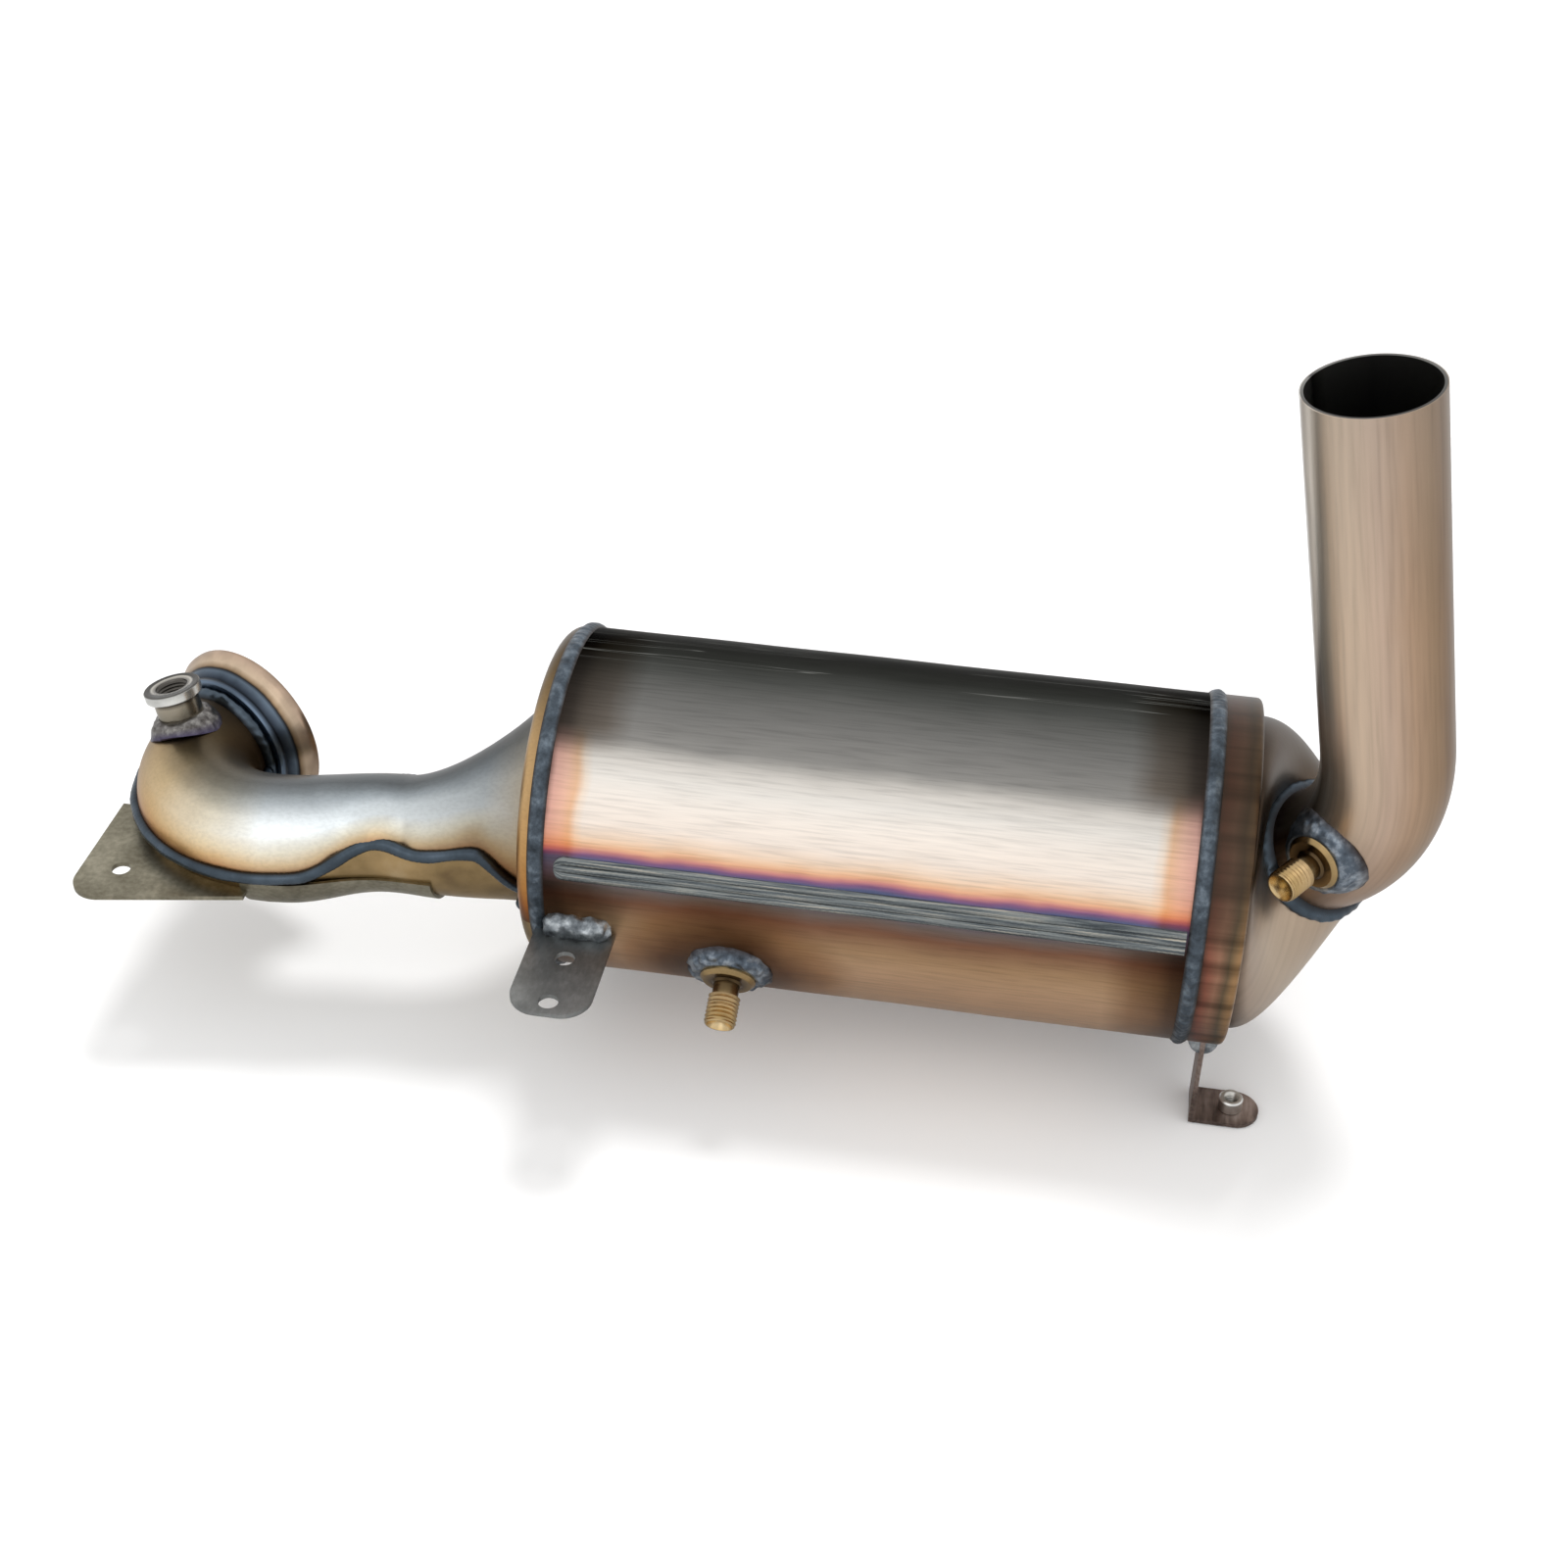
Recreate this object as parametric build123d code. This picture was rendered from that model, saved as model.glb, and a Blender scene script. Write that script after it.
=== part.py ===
from build123d import *
import math
import os

# A diesel particulate filter with its inlet elbow and outlet pipe, in millimetres.
# Modelled about the can: X runs along the can from inlet to outlet, Z is up, and the viewer's
# side is -Y. Every piece is moved at the end, so that the inlet flange's face is the origin.

# can
CAN_OD = 143.0
CAN_LENGTH = 261.4
SHELL_WALL = 1.5
SEAM_ANGLE = 12.5  # degrees above the level of the axis, on the viewer's side
SEAM_STOP = 7.7  # how far short of the can's two ends it stops
SEAM_ROD_D = 4.4
SEAM_ROD_PITCH = 3.3
SEAM_ROD_SINK = 0.9
SEAM_ROWS = 3

# what the can holds
MAT_THICKNESS = 4.0
DOC_LENGTH = 56.0
DOC_START = 5.0  # from the can's inlet end
BRICK_GAP = 34.0
DPF_LENGTH = 152.0
MAT_INSET = 4.0  # each mat is this much shorter than its brick at both ends

# girth welds at the can's two ends
GIRTH_BEAD_WIDTH = 7.5
GIRTH_BEAD_HEIGHT = 2.0

# inlet elbow, pressed in two halves
INLET_SHOULDER = 9.0
INLET_CORNER = 6.5
FLARE_LENGTH = 60.0
FLARE_RISE = 21.7  # how much wider than the throat the flare is at the end wall
FLARE_FOOT = 7.0  # what its foot adds as it meets the wall
ELBOW_OD = 52.5
THROAT_OD = 48.6
ELBOW_FORWARD = 40.0  # how far the elbow's axis lies on the viewer's side of the can's axis
ELBOW_DROP = 10.5
THROAT_SHARE = 0.75  # how much of that offset the flare takes
ELBOW_START = 126.5  # from the can's inlet end to the start of the bend
ELBOW_RADIUS = 42.5
ELBOW_TURN = 112.0
ELBOW_TAIL = 6.0
FLARE_STEPS = 7
FLARE_CURVE = 1.5  # the powers that shape its sides, its foot, its lean and the spread of its sections
FOOT_CURVE = 12
LEAN_CURVE = 1.7
SPREAD_CURVE = 1.6
THROAT_STATIONS = (0.45, 0.85, 1.0)  # sections between the flare and the bend, as shares of that run
PART_AT_CAN = -15.0
PART_HIGH = 2.2
PART_DIP = -0.6
PART_LOW = -12.3
PART_CAN_AT = 12.0  # distances from the can's inlet end
PART_HIGH_AT = 32.0
PART_DIP_AT = 54.0
PART_HUMP_AT = 71.0
PART_LOW_AT = 107.0
PART_STEPS = 4
ELBOW_BEAD_HEIGHT = 4.5
ELBOW_BEAD_WIDTH = 6.0

# inlet flange, a turned V-band ring
FLANGE_OD = 78.0
FLANGE_NECK_OD = 64.0
FLANGE_HUB = 5.0
FLANGE_CONE = 9.0
FLANGE_LIP = 1.6
FLANGE_SEAT = 5.0  # how deep the elbow's end goes into the ring
SLIP_FIT = 0.1
FLANGE_BEAD_WIDTH = 7.0
FLANGE_BEAD_HEIGHT = 3.6
FLANGE_BEAD_SUNK = 2.0

# sensor boss on the elbow
BOSS_AT = 83.0  # degrees round the bend
BOSS_LEAN_X = -0.24
BOSS_LEAN_Y = 0.10
BOSS_D = 19.4
BOSS_TOP_D = 24.5
BOSS_TOP_HEIGHT = 4.5
BOSS_HEIGHT = 17.0
BOSS_HOLE_D = 12.4
BOSS_WELD_D = 30.0
BOSS_WELD_HEIGHT = 5.0
BOSS_WELD_SUNK = 1.0
DOME_BULGE = 0.78  # how much of its height a domed weld has reached half way up its slope

# pressure nipples
NIPPLE_SHANK_D = 12.0
NIPPLE_SHANK_PAST = 1.0  # past the wall's inner side
NIPPLE_COLLAR_FOOT = 1.0  # the collar's underside stands this far off the wall
NIPPLE_COLLAR_D = 23.0
NIPPLE_COLLAR_TOP = 6.0
NIPPLE_CHAMFER = 1.6
NIPPLE_WAIST_D = 10.8
NIPPLE_WAIST = 7.0
NIPPLE_THREAD_D = 13.2
NIPPLE_THREAD = 11.5
NIPPLE_BORE_D = 6.0
NIPPLE_MOUTH_D = 11.2
NIPPLE_MOUTH_DEPTH = 5.0
NIPPLE_THREAD_CHAMFER = 0.8
NIPPLE_WELD_D = 37.0
NIPPLE_WELD_HEIGHT = 4.4
UPSTREAM_AT = 78.0  # from the can's inlet end
UPSTREAM_ANGLE = -26.5
HOLE_PLAY = 0.1

# outlet end cap and pipe
OUTLET_SHOULDER = 18.0
OUTLET_STEP = 7.1  # how far the cap steps in at the collar's edge
CAP_WALL = 1.5
CAP_FULL_AT_COLLAR = 0.83  # how far the cap's wall runs straight on before it turns in, as a share
CAP_FULL_AT_NECK = 0.03
CAP_STEPS = 5
CAP_POINTS = 20
NECK_X = 45.6  # the neck's centre, from the can's outlet end
NECK_FORWARD = 2.1
NECK_UP = 16.7
PIPE_OD = 50.0
PIPE_WALL = 1.5
CORNER_X = 69.5  # where the pipe's two straight lines would meet, from the can's outlet end
CORNER_FORWARD = 23.2
CORNER_UP = 47.2
PIPE_LEAN = 11.24
PIPE_RUN = 188.9
PIPE_BEND = 75.0
PIPE_PLUG = 7.0
PIPE_BEAD_WIDTH = 9.0
PIPE_BEAD_HEIGHT = 5.0

# downstream nipple, on the pipe's first bend
DOWNSTREAM_AT = 36.0  # along the pipe from its plugged end
DOWNSTREAM_X = -0.61
DOWNSTREAM_Y = -0.79
DOWNSTREAM_Z = -0.09

# brackets of flat sheet
SHEET = 2.0
CAN_BRACKET_Z = -16.0
CAN_BRACKET_AT = 15.5  # its middle, from the can's inlet end
CAN_BRACKET_WIDTH = 33.0
CAN_BRACKET_REACH = 49.0
CAN_BRACKET_CORNER = 12.0
CAN_BRACKET_HOLE_D = 8.2
CAN_BRACKET_FIRST = 16.0
CAN_BRACKET_SPACING = 26.0
CAN_BRACKET_WELD_D = 13.0
CAN_BRACKET_WELD_UP = 3.0
CAN_BRACKET_WELD_LEFT = 3.0  # from the plate's edges
CAN_BRACKET_WELD_RIGHT = 1.0
ELBOW_BRACKET_Z = -20.0
ELBOW_BRACKET_X = 73.5
ELBOW_BRACKET_FORWARD = 84.0
ELBOW_BRACKET_SKEW = 14.0
ELBOW_BRACKET_CORNER = 12.0
ELBOW_BRACKET_HOLE_D = 8.0
ELBOW_BRACKET_HOLE_X = 17.0  # from the ear's two outer edges
ELBOW_BRACKET_HOLE_Y = 22.1
CRADLE_LENGTH = 78.0
CRADLE_SHEET = 1.5
CRADLE_TOP = -15.0
FOOT_AT = 9.5  # from the can's outlet end
FOOT_WIDTH = 20.0
FOOT_FORWARD = 36.0
FOOT_Z = -100.0
FOOT_TONGUE = 29.0
FOOT_HOLE_D = 7.0
FOOT_WELD_WIDTH = 12.0
FOOT_WELD_HEIGHT = 5.0
NUT_D = 10.0
NUT_HEIGHT = 6.0
NUT_HOLE_D = 5.0
NUT_FROM_STRIP = 17.0

# worked out
CAN_R = CAN_OD / 2
HALF = CAN_LENGTH / 2
ELBOW_R = ELBOW_OD / 2
THROAT_R = THROAT_OD / 2
PIPE_R = PIPE_OD / 2
BEND_X = -HALF - ELBOW_START
BEND_CENTRE = Vector(BEND_X, -ELBOW_FORWARD + ELBOW_RADIUS, -ELBOW_DROP)
TURN = math.radians(ELBOW_TURN)
FLANGE_AXIS = Vector(-math.cos(TURN), math.sin(TURN), 0)
FLANGE_WIDTH = FLANGE_HUB + FLANGE_CONE + FLANGE_LIP
BEND_END = BEND_CENTRE + Vector(-math.sin(TURN), -math.cos(TURN), 0) * ELBOW_RADIUS
ELBOW_END = BEND_END + FLANGE_AXIS * ELBOW_TAIL
FLANGE_FACE = ELBOW_END + FLANGE_AXIS * (FLANGE_WIDTH - FLANGE_SEAT)
NECK = Vector(HALF + NECK_X, -NECK_FORWARD, NECK_UP)
CORNER = Vector(HALF + CORNER_X, -CORNER_FORWARD, CORNER_UP)
NECK_AXIS = (CORNER - NECK).normalized()
LEAN = math.radians(PIPE_LEAN)
PIPE_AXIS = Vector(-math.sin(LEAN), 0, math.cos(LEAN))
MOUTH = CORNER + PIPE_AXIS * PIPE_RUN


def turned(points):
    """A ring or disc turned about Z from its (radius, height) outline."""
    outline = make_face(Polyline(*points, close=True))
    return revolve(Plane.XZ * outline, axis=Axis.Z)


def facing(origin, direction):
    """The plane at a point that faces a direction, its own X kept as near to +Z as it can be."""
    normal = Vector(*direction).normalized()
    up = Vector(0, 0, 1) - normal * normal.Z
    return Plane(origin=origin, x_dir=up, z_dir=normal)


def disc(x, radius, y=0.0, z=0.0):
    """A round section facing along X."""
    return facing((x, y, z), (1, 0, 0)) * Circle(radius)


def drum(start, end, radius):
    """A round bar along X from start to end."""
    return extrude(disc(start, radius), end - start)


def along(path, radius):
    """A round bar carried along a path."""
    return sweep(Plane(origin=path @ 0, z_dir=path % 0) * Circle(radius), path=path)


def rod(start, direction, length, radius):
    """A round bar from a point along a direction."""
    return extrude(Plane(origin=start, z_dir=direction) * Circle(radius), length)


def post(x, y, low, high, radius):
    """An upright round bar."""
    return rod(Vector(x, y, low), Vector(0, 0, 1), high - low, radius)


def block(xs, ys, zs):
    """A box from its low and high ends along X, Y and Z."""
    spans = (xs, ys, zs)
    sizes = [high - low for low, high in spans]
    middles = [(high + low) / 2 for low, high in spans]
    return Pos(*middles) * Box(*sizes)


def ring_bead(centre, axis, inner_radius, width, height):
    """A weld bead with a rounded crown, standing on a round surface."""
    base = Line((inner_radius, -width / 2), (inner_radius, width / 2))
    crown = ThreePointArc((inner_radius, width / 2), (inner_radius + height, 0), (inner_radius, -width / 2))
    ring = revolve(Plane.XZ * make_face([base, crown]), axis=Axis.Z)
    return Plane(origin=centre, z_dir=axis) * ring


def weld_dome(plane, base_d, top_d, height, depth):
    """A domed weld round a boss, standing on the plane and reaching below it."""
    base_r = base_d / 2
    top_r = top_d / 2
    rim = Line((base_r, -depth), (base_r, 0))
    middle = ((2 * base_r + top_r) / 3, height * DOME_BULGE)
    bulge = ThreePointArc((base_r, 0), middle, (top_r, height))
    rest = Polyline((top_r, height), (0, height), (0, -depth), (base_r, -depth))
    return plane * revolve(Plane.XZ * make_face([rim, bulge, rest]), axis=Axis.Z)


def elbow_path(tail):
    """The elbow's centre line, from its throat round the bend, with a straight tail."""
    reach = ELBOW_RADIUS * math.tan(TURN / 2)
    start = Vector(BEND_X + ELBOW_TAIL, -ELBOW_FORWARD, -ELBOW_DROP)
    corner = Vector(BEND_X - reach, -ELBOW_FORWARD, -ELBOW_DROP)
    return FilletPolyline(start, corner, corner + FLANGE_AXIS * (reach + tail), radius=ELBOW_RADIUS)


def flare_sections(grow):
    """Round sections from the end wall down to the throat and on to the elbow's bend."""
    start = -HALF - INLET_SHOULDER + SHELL_WALL
    sections = []
    for step in range(FLARE_STEPS + 1):
        share = (step / FLARE_STEPS) ** SPREAD_CURVE
        left = 1 - share
        rise = FLARE_RISE * left ** FLARE_CURVE + FLARE_FOOT * left ** FOOT_CURVE
        side_slope = FLARE_CURVE * FLARE_RISE * left ** (FLARE_CURVE - 1) / FLARE_LENGTH
        foot_slope = FOOT_CURVE * FLARE_FOOT * left ** (FOOT_CURVE - 1) / FLARE_LENGTH
        radius = THROAT_R + rise + grow * math.hypot(1, side_slope + foot_slope)
        off_axis = THROAT_SHARE * (1 - left ** LEAN_CURVE)
        place = (start - share * FLARE_LENGTH, -ELBOW_FORWARD * off_axis, -ELBOW_DROP * off_axis)
        sections.append(disc(place[0], radius, place[1], place[2]))
    run = BEND_X + ELBOW_TAIL - (start - FLARE_LENGTH)
    for share in THROAT_STATIONS:
        ease = share * share * (3 - 2 * share)
        radius = THROAT_R + (ELBOW_R - THROAT_R) * ease + grow
        off_axis = THROAT_SHARE + (1 - THROAT_SHARE) * ease
        x = start - FLARE_LENGTH + run * share
        sections.append(disc(x, radius, -ELBOW_FORWARD * off_axis, -ELBOW_DROP * off_axis))
    return sections


def inlet_body(grow=0.0, past=0.0):
    """The inlet end cap and elbow as one filled body, grown by a thickness."""
    cap = drum(-HALF - INLET_SHOULDER - grow, -HALF + past, CAN_R + grow)
    cap = fillet(cap.edges().group_by(Axis.X)[0], INLET_CORNER + grow)
    flare = loft(flare_sections(grow))
    bend = along(elbow_path(ELBOW_TAIL + past), ELBOW_R + grow)
    return cap + flare + bend


def above_parting(lift):
    """Everything above the line where the elbow's halves meet, lifted by a distance."""
    marks = (
        (PART_CAN_AT, PART_AT_CAN),
        (PART_HIGH_AT, PART_HIGH),
        (PART_DIP_AT, PART_DIP),
        (PART_HUMP_AT, PART_HIGH),
        (PART_LOW_AT, PART_LOW),
    )
    points = []
    for (near, low), (far, high) in zip(marks, marks[1:]):
        for step in range(PART_STEPS):
            share = step / PART_STEPS
            height = low + (high - low) * (1 - math.cos(math.pi * share)) / 2
            points.append((-HALF - near - (far - near) * share, height + lift))
    points.append((-HALF - PART_LOW_AT, PART_LOW + lift))
    start = (-HALF + CAN_R, PART_AT_CAN + lift)
    end = (BEND_X - 2 * ELBOW_OD, PART_LOW + lift)
    line = Spline(*points, tangents=((-1, 0), (-1, 0)))
    rest = Polyline(points[-1], end, (end[0], CAN_OD), (start[0], CAN_OD), start, points[0])
    return extrude(Plane.XZ * make_face([line, rest]), CAN_OD, both=True)


def boss_plane():
    """The sensor boss's plane, on the elbow's centre line."""
    at = math.radians(BOSS_AT)
    middle = BEND_CENTRE + Vector(-math.sin(at), -math.cos(at), 0) * ELBOW_RADIUS
    return Plane(origin=middle, z_dir=Vector(BOSS_LEAN_X, BOSS_LEAN_Y, 1).normalized())


def boss_bar(radius):
    """A bar along the boss's axis, from the elbow's centre line outwards."""
    plane = boss_plane()
    return rod(plane.origin, plane.z_dir, ELBOW_R + BOSS_HEIGHT, radius)


def inlet_halves(body):
    """The elbow's upper and lower pressings."""
    shell = body - inlet_body(-SHELL_WALL, past=1.0)
    upper_space = above_parting(0)
    upper = shell & upper_space
    upper -= boss_bar(BOSS_HOLE_D / 2 + HOLE_PLAY)
    return upper, shell - upper_space


def inlet_seam(body):
    """The two welds that join the pressings, on the viewer's side and behind."""
    grown = inlet_body(ELBOW_BEAD_HEIGHT)
    band = above_parting(-ELBOW_BEAD_WIDTH / 2) - above_parting(ELBOW_BEAD_WIDTH / 2)
    bead = (grown & band) - body
    bead -= drum(-HALF - INLET_SHOULDER, HALF, CAN_R + 2 * ELBOW_BEAD_HEIGHT)
    hub_start = ELBOW_END - FLANGE_AXIS * (FLANGE_SEAT + FLANGE_BEAD_WIDTH / 2)
    bead -= rod(hub_start, FLANGE_AXIS, FLANGE_WIDTH * 2, ELBOW_R + 2 * ELBOW_BEAD_HEIGHT)
    front, back = bead.solids().sort_by(Axis.Y)
    return front, back


def sensor_boss(body):
    """The turned boss with its wider top, bored for the sensor's thread."""
    top = ELBOW_R + BOSS_HEIGHT
    neck = BOSS_D / 2
    hole = BOSS_HOLE_D / 2
    wide = BOSS_TOP_D / 2
    shoulder = top - BOSS_TOP_HEIGHT
    outline = [(hole, 0), (neck, 0), (neck, shoulder), (wide, shoulder), (wide, top), (hole, top)]
    return boss_plane() * turned(outline) - body


def boss_weld(body):
    """The domed weld round the boss's foot."""
    plane = boss_plane()
    foot = Plane(origin=plane.origin + plane.z_dir * (ELBOW_R - BOSS_WELD_SUNK), z_dir=plane.z_dir)
    height = BOSS_WELD_HEIGHT + BOSS_WELD_SUNK
    dome = weld_dome(foot, BOSS_WELD_D, BOSS_D + 2, height, ELBOW_R / 3)
    return dome - body - boss_bar(BOSS_D / 2)


def inlet_flange():
    """The V-band ring: hub, cone and lip, with a seat for the elbow's end."""
    seat_r = ELBOW_R + SLIP_FIT
    bore_r = ELBOW_R - SHELL_WALL
    hub_r = FLANGE_NECK_OD / 2
    rim_r = FLANGE_OD / 2
    outline = [
        (seat_r, 0),
        (hub_r, 0),
        (hub_r, FLANGE_HUB),
        (rim_r, FLANGE_HUB + FLANGE_CONE),
        (rim_r, FLANGE_WIDTH),
        (bore_r, FLANGE_WIDTH),
        (bore_r, FLANGE_SEAT),
        (seat_r, FLANGE_SEAT),
    ]
    start = ELBOW_END - FLANGE_AXIS * FLANGE_SEAT
    return Plane(origin=start, z_dir=FLANGE_AXIS) * turned(outline)


def flange_weld(body):
    """The bead between the elbow's end and the flange's hub."""
    start = ELBOW_END - FLANGE_AXIS * FLANGE_SEAT
    foot_r = ELBOW_R - FLANGE_BEAD_SUNK
    height = FLANGE_BEAD_SUNK + FLANGE_BEAD_HEIGHT
    bead = ring_bead(start, FLANGE_AXIS, foot_r, FLANGE_BEAD_WIDTH, height)
    return bead - body - rod(start, FLANGE_AXIS, FLANGE_WIDTH, FLANGE_OD)


def ring_points(origin, direction, radius):
    """Points evenly round a ring, starting from its top."""
    plane = facing(origin, direction)
    step = 2 * math.pi / CAP_POINTS
    turns = [step * number for number in range(CAP_POINTS)]
    return [plane.from_local_coords((radius * math.cos(a), radius * math.sin(a), 0)) for a in turns]


def cap_wires(start, grow, past):
    """Closed curves from the collar to the neck; each wall line runs on first, then turns in."""
    collar = ring_points((start, 0, 0), (1, 0, 0), CAN_R - OUTLET_STEP + grow)
    neck = ring_points(NECK + NECK_AXIS * past, NECK_AXIS, PIPE_R + SLIP_FIT + CAP_WALL + grow)
    wires = []
    for step in range(CAP_STEPS + 1):
        t = step / CAP_STEPS
        weights = ((1 - t) ** 3, 3 * t * (1 - t) ** 2, 3 * t * t * (1 - t), t ** 3)
        points = []
        for first, last in zip(collar, neck):
            full = Vector(last.X, first.Y, first.Z)
            second = first + (full - first) * CAP_FULL_AT_COLLAR
            third = last + (full - last) * CAP_FULL_AT_NECK
            stations = zip(weights, (first, second, third, last))
            points.append(sum((place * weight for weight, place in stations), Vector(0, 0, 0)))
        wires.append(Wire(Spline(*points, periodic=True)))
    return wires


def outlet_body(grow=0.0, past=0.0):
    """The outlet cap as one filled body, from the can's end to the pipe's neck."""
    shoulder = HALF + OUTLET_SHOULDER + grow
    collar = drum(HALF - past, shoulder, CAN_R + grow)
    return collar + Solid.make_loft(cap_wires(shoulder - CAP_WALL, grow, past))


def pipe_path():
    """The outlet pipe's centre line, from inside the neck to the mouth."""
    return FilletPolyline(NECK - NECK_AXIS * PIPE_PLUG, CORNER, MOUTH, radius=PIPE_BEND)


def pipe_bar(radius):
    """A round bar along the outlet pipe: the swept bend, then the straight run to the mouth."""
    *bend, run = reversed(pipe_path().edges().sort_by_distance(MOUTH))
    straight = rod(MOUTH - PIPE_AXIS * run.length, PIPE_AXIS, run.length, radius)
    return along(Wire(bend), radius) + straight


def downstream_plane():
    """The downstream nipple's plane, on the pipe's surface."""
    path = pipe_path()
    share = DOWNSTREAM_AT / path.length
    along_pipe = path % share
    wanted = Vector(DOWNSTREAM_X, DOWNSTREAM_Y, DOWNSTREAM_Z)
    axis = (wanted - along_pipe * wanted.dot(along_pipe)).normalized()
    return Plane(origin=(path @ share) + axis * PIPE_R, z_dir=axis)


def upstream_plane():
    """The upstream nipple's plane, on the can's surface."""
    angle = math.radians(UPSTREAM_ANGLE)
    out = Vector(0, -math.cos(angle), math.sin(angle))
    return Plane(origin=Vector(-HALF + UPSTREAM_AT, 0, 0) + out * CAN_R, z_dir=out)


def nipple(plane):
    """A turned nipple: shank, collar, waist and threaded end with a coned mouth."""
    shank = NIPPLE_SHANK_D / 2
    collar = NIPPLE_COLLAR_D / 2
    waist = NIPPLE_WAIST_D / 2
    thread = NIPPLE_THREAD_D / 2
    bore = NIPPLE_BORE_D / 2
    thread_start = NIPPLE_COLLAR_TOP + NIPPLE_WAIST
    end = thread_start + NIPPLE_THREAD
    low = -SHELL_WALL - NIPPLE_SHANK_PAST
    outline = [
        (bore, low),
        (shank, low),
        (shank, NIPPLE_COLLAR_FOOT),
        (collar, NIPPLE_COLLAR_FOOT),
        (collar, NIPPLE_COLLAR_TOP - NIPPLE_CHAMFER),
        (collar - NIPPLE_CHAMFER, NIPPLE_COLLAR_TOP),
        (waist, NIPPLE_COLLAR_TOP),
        (waist, thread_start - NIPPLE_THREAD_CHAMFER),
        (thread, thread_start),
        (thread, end - NIPPLE_THREAD_CHAMFER),
        (thread - NIPPLE_THREAD_CHAMFER, end),
        (NIPPLE_MOUTH_D / 2, end),
        (bore, end - NIPPLE_MOUTH_DEPTH),
    ]
    return plane * turned(outline)


def nipple_weld(plane, carrier):
    """The domed weld that fills round a nipple's collar."""
    top_d = NIPPLE_COLLAR_D + 2
    dome = weld_dome(plane, NIPPLE_WELD_D, top_d, NIPPLE_WELD_HEIGHT, NIPPLE_WELD_D / 3)
    low = -2 * SHELL_WALL
    shank = Pos(0, 0, low) * extrude(Circle(NIPPLE_SHANK_D / 2), -low + NIPPLE_COLLAR_FOOT)
    collar = Pos(0, 0, NIPPLE_COLLAR_FOOT) * extrude(Circle(NIPPLE_COLLAR_D / 2), NIPPLE_COLLAR_TOP)
    return dome - carrier - plane * shank - plane * collar


def seam_weld(can):
    """The can's long seam: rows of low ridges side by side."""
    rods = None
    length = CAN_LENGTH - 2 * SEAM_STOP
    radius = CAN_R - SEAM_ROD_SINK
    for row in range(SEAM_ROWS):
        shift = (row - (SEAM_ROWS - 1) / 2) * SEAM_ROD_PITCH / CAN_R
        angle = math.radians(SEAM_ANGLE) + shift
        start = Vector(-length / 2, -radius * math.cos(angle), radius * math.sin(angle))
        bar = rod(start, Vector(1, 0, 0), length, SEAM_ROD_D / 2)
        rods = bar if rods is None else rods + bar
    return rods - can


def can_bracket(can, inlet):
    """The flat plate on the can's side, with two holes."""
    middle = -HALF + CAN_BRACKET_AT
    left = middle - CAN_BRACKET_WIDTH / 2
    end = -CAN_R - CAN_BRACKET_REACH
    low = CAN_BRACKET_Z - SHEET
    plate = block((left, left + CAN_BRACKET_WIDTH), (end, -CAN_R / 2), (low, CAN_BRACKET_Z))
    corners = plate.edges().filter_by(Axis.Z).group_by(Axis.Y)[0]
    plate = fillet(corners, CAN_BRACKET_CORNER)
    for row in range(2):
        y = -CAN_R - CAN_BRACKET_FIRST - row * CAN_BRACKET_SPACING
        plate -= post(middle, y, low - 1, CAN_BRACKET_Z + 1, CAN_BRACKET_HOLE_D / 2)
    return plate - can - inlet


def can_bracket_weld(can, plate):
    """The fillet weld along the bracket's upper side."""
    z = CAN_BRACKET_Z + CAN_BRACKET_WELD_UP
    left = -HALF + CAN_BRACKET_AT - CAN_BRACKET_WIDTH / 2 + CAN_BRACKET_WELD_LEFT
    length = CAN_BRACKET_WIDTH - CAN_BRACKET_WELD_LEFT - CAN_BRACKET_WELD_RIGHT
    start = Vector(left, -math.sqrt(CAN_R ** 2 - z ** 2), z)
    bead = rod(start, Vector(1, 0, 0), length, CAN_BRACKET_WELD_D / 2)
    above = block((-CAN_OD, CAN_OD), (-CAN_OD, 0), (CAN_BRACKET_Z, CAN_OD))
    return (bead & above) - can - plate


def elbow_bracket(body):
    """The sheet under the elbow: a flat ear with a hole, and a cradle along the lower pressing."""
    left = BEND_X - ELBOW_BRACKET_X
    front = -ELBOW_BRACKET_FORWARD
    inner = -ELBOW_FORWARD + ELBOW_RADIUS / 2
    right_front = (BEND_X, front + ELBOW_BRACKET_SKEW)
    outline = Polyline((left, inner), (left, front), right_front, (BEND_X, inner), close=True)
    low = ELBOW_BRACKET_Z - SHEET
    ear = Pos(0, 0, low) * extrude(make_face(outline), SHEET)
    corner = ear.edges().filter_by(Axis.Z).sort_by(lambda edge: edge.center().X + edge.center().Y)[0]
    ear = fillet(corner, ELBOW_BRACKET_CORNER)
    hole_x = left + ELBOW_BRACKET_HOLE_X
    hole_y = front + ELBOW_BRACKET_HOLE_Y
    ear -= post(hole_x, hole_y, low - 1, ELBOW_BRACKET_Z + 1, ELBOW_BRACKET_HOLE_D / 2)
    start = BEND_X - SHEET
    slab = block((start, start + CRADLE_LENGTH), (-CAN_OD, CAN_OD), (-CAN_OD, CRADLE_TOP))
    cradle = inlet_body(CRADLE_SHEET) & slab
    return (ear + cradle) - body


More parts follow.
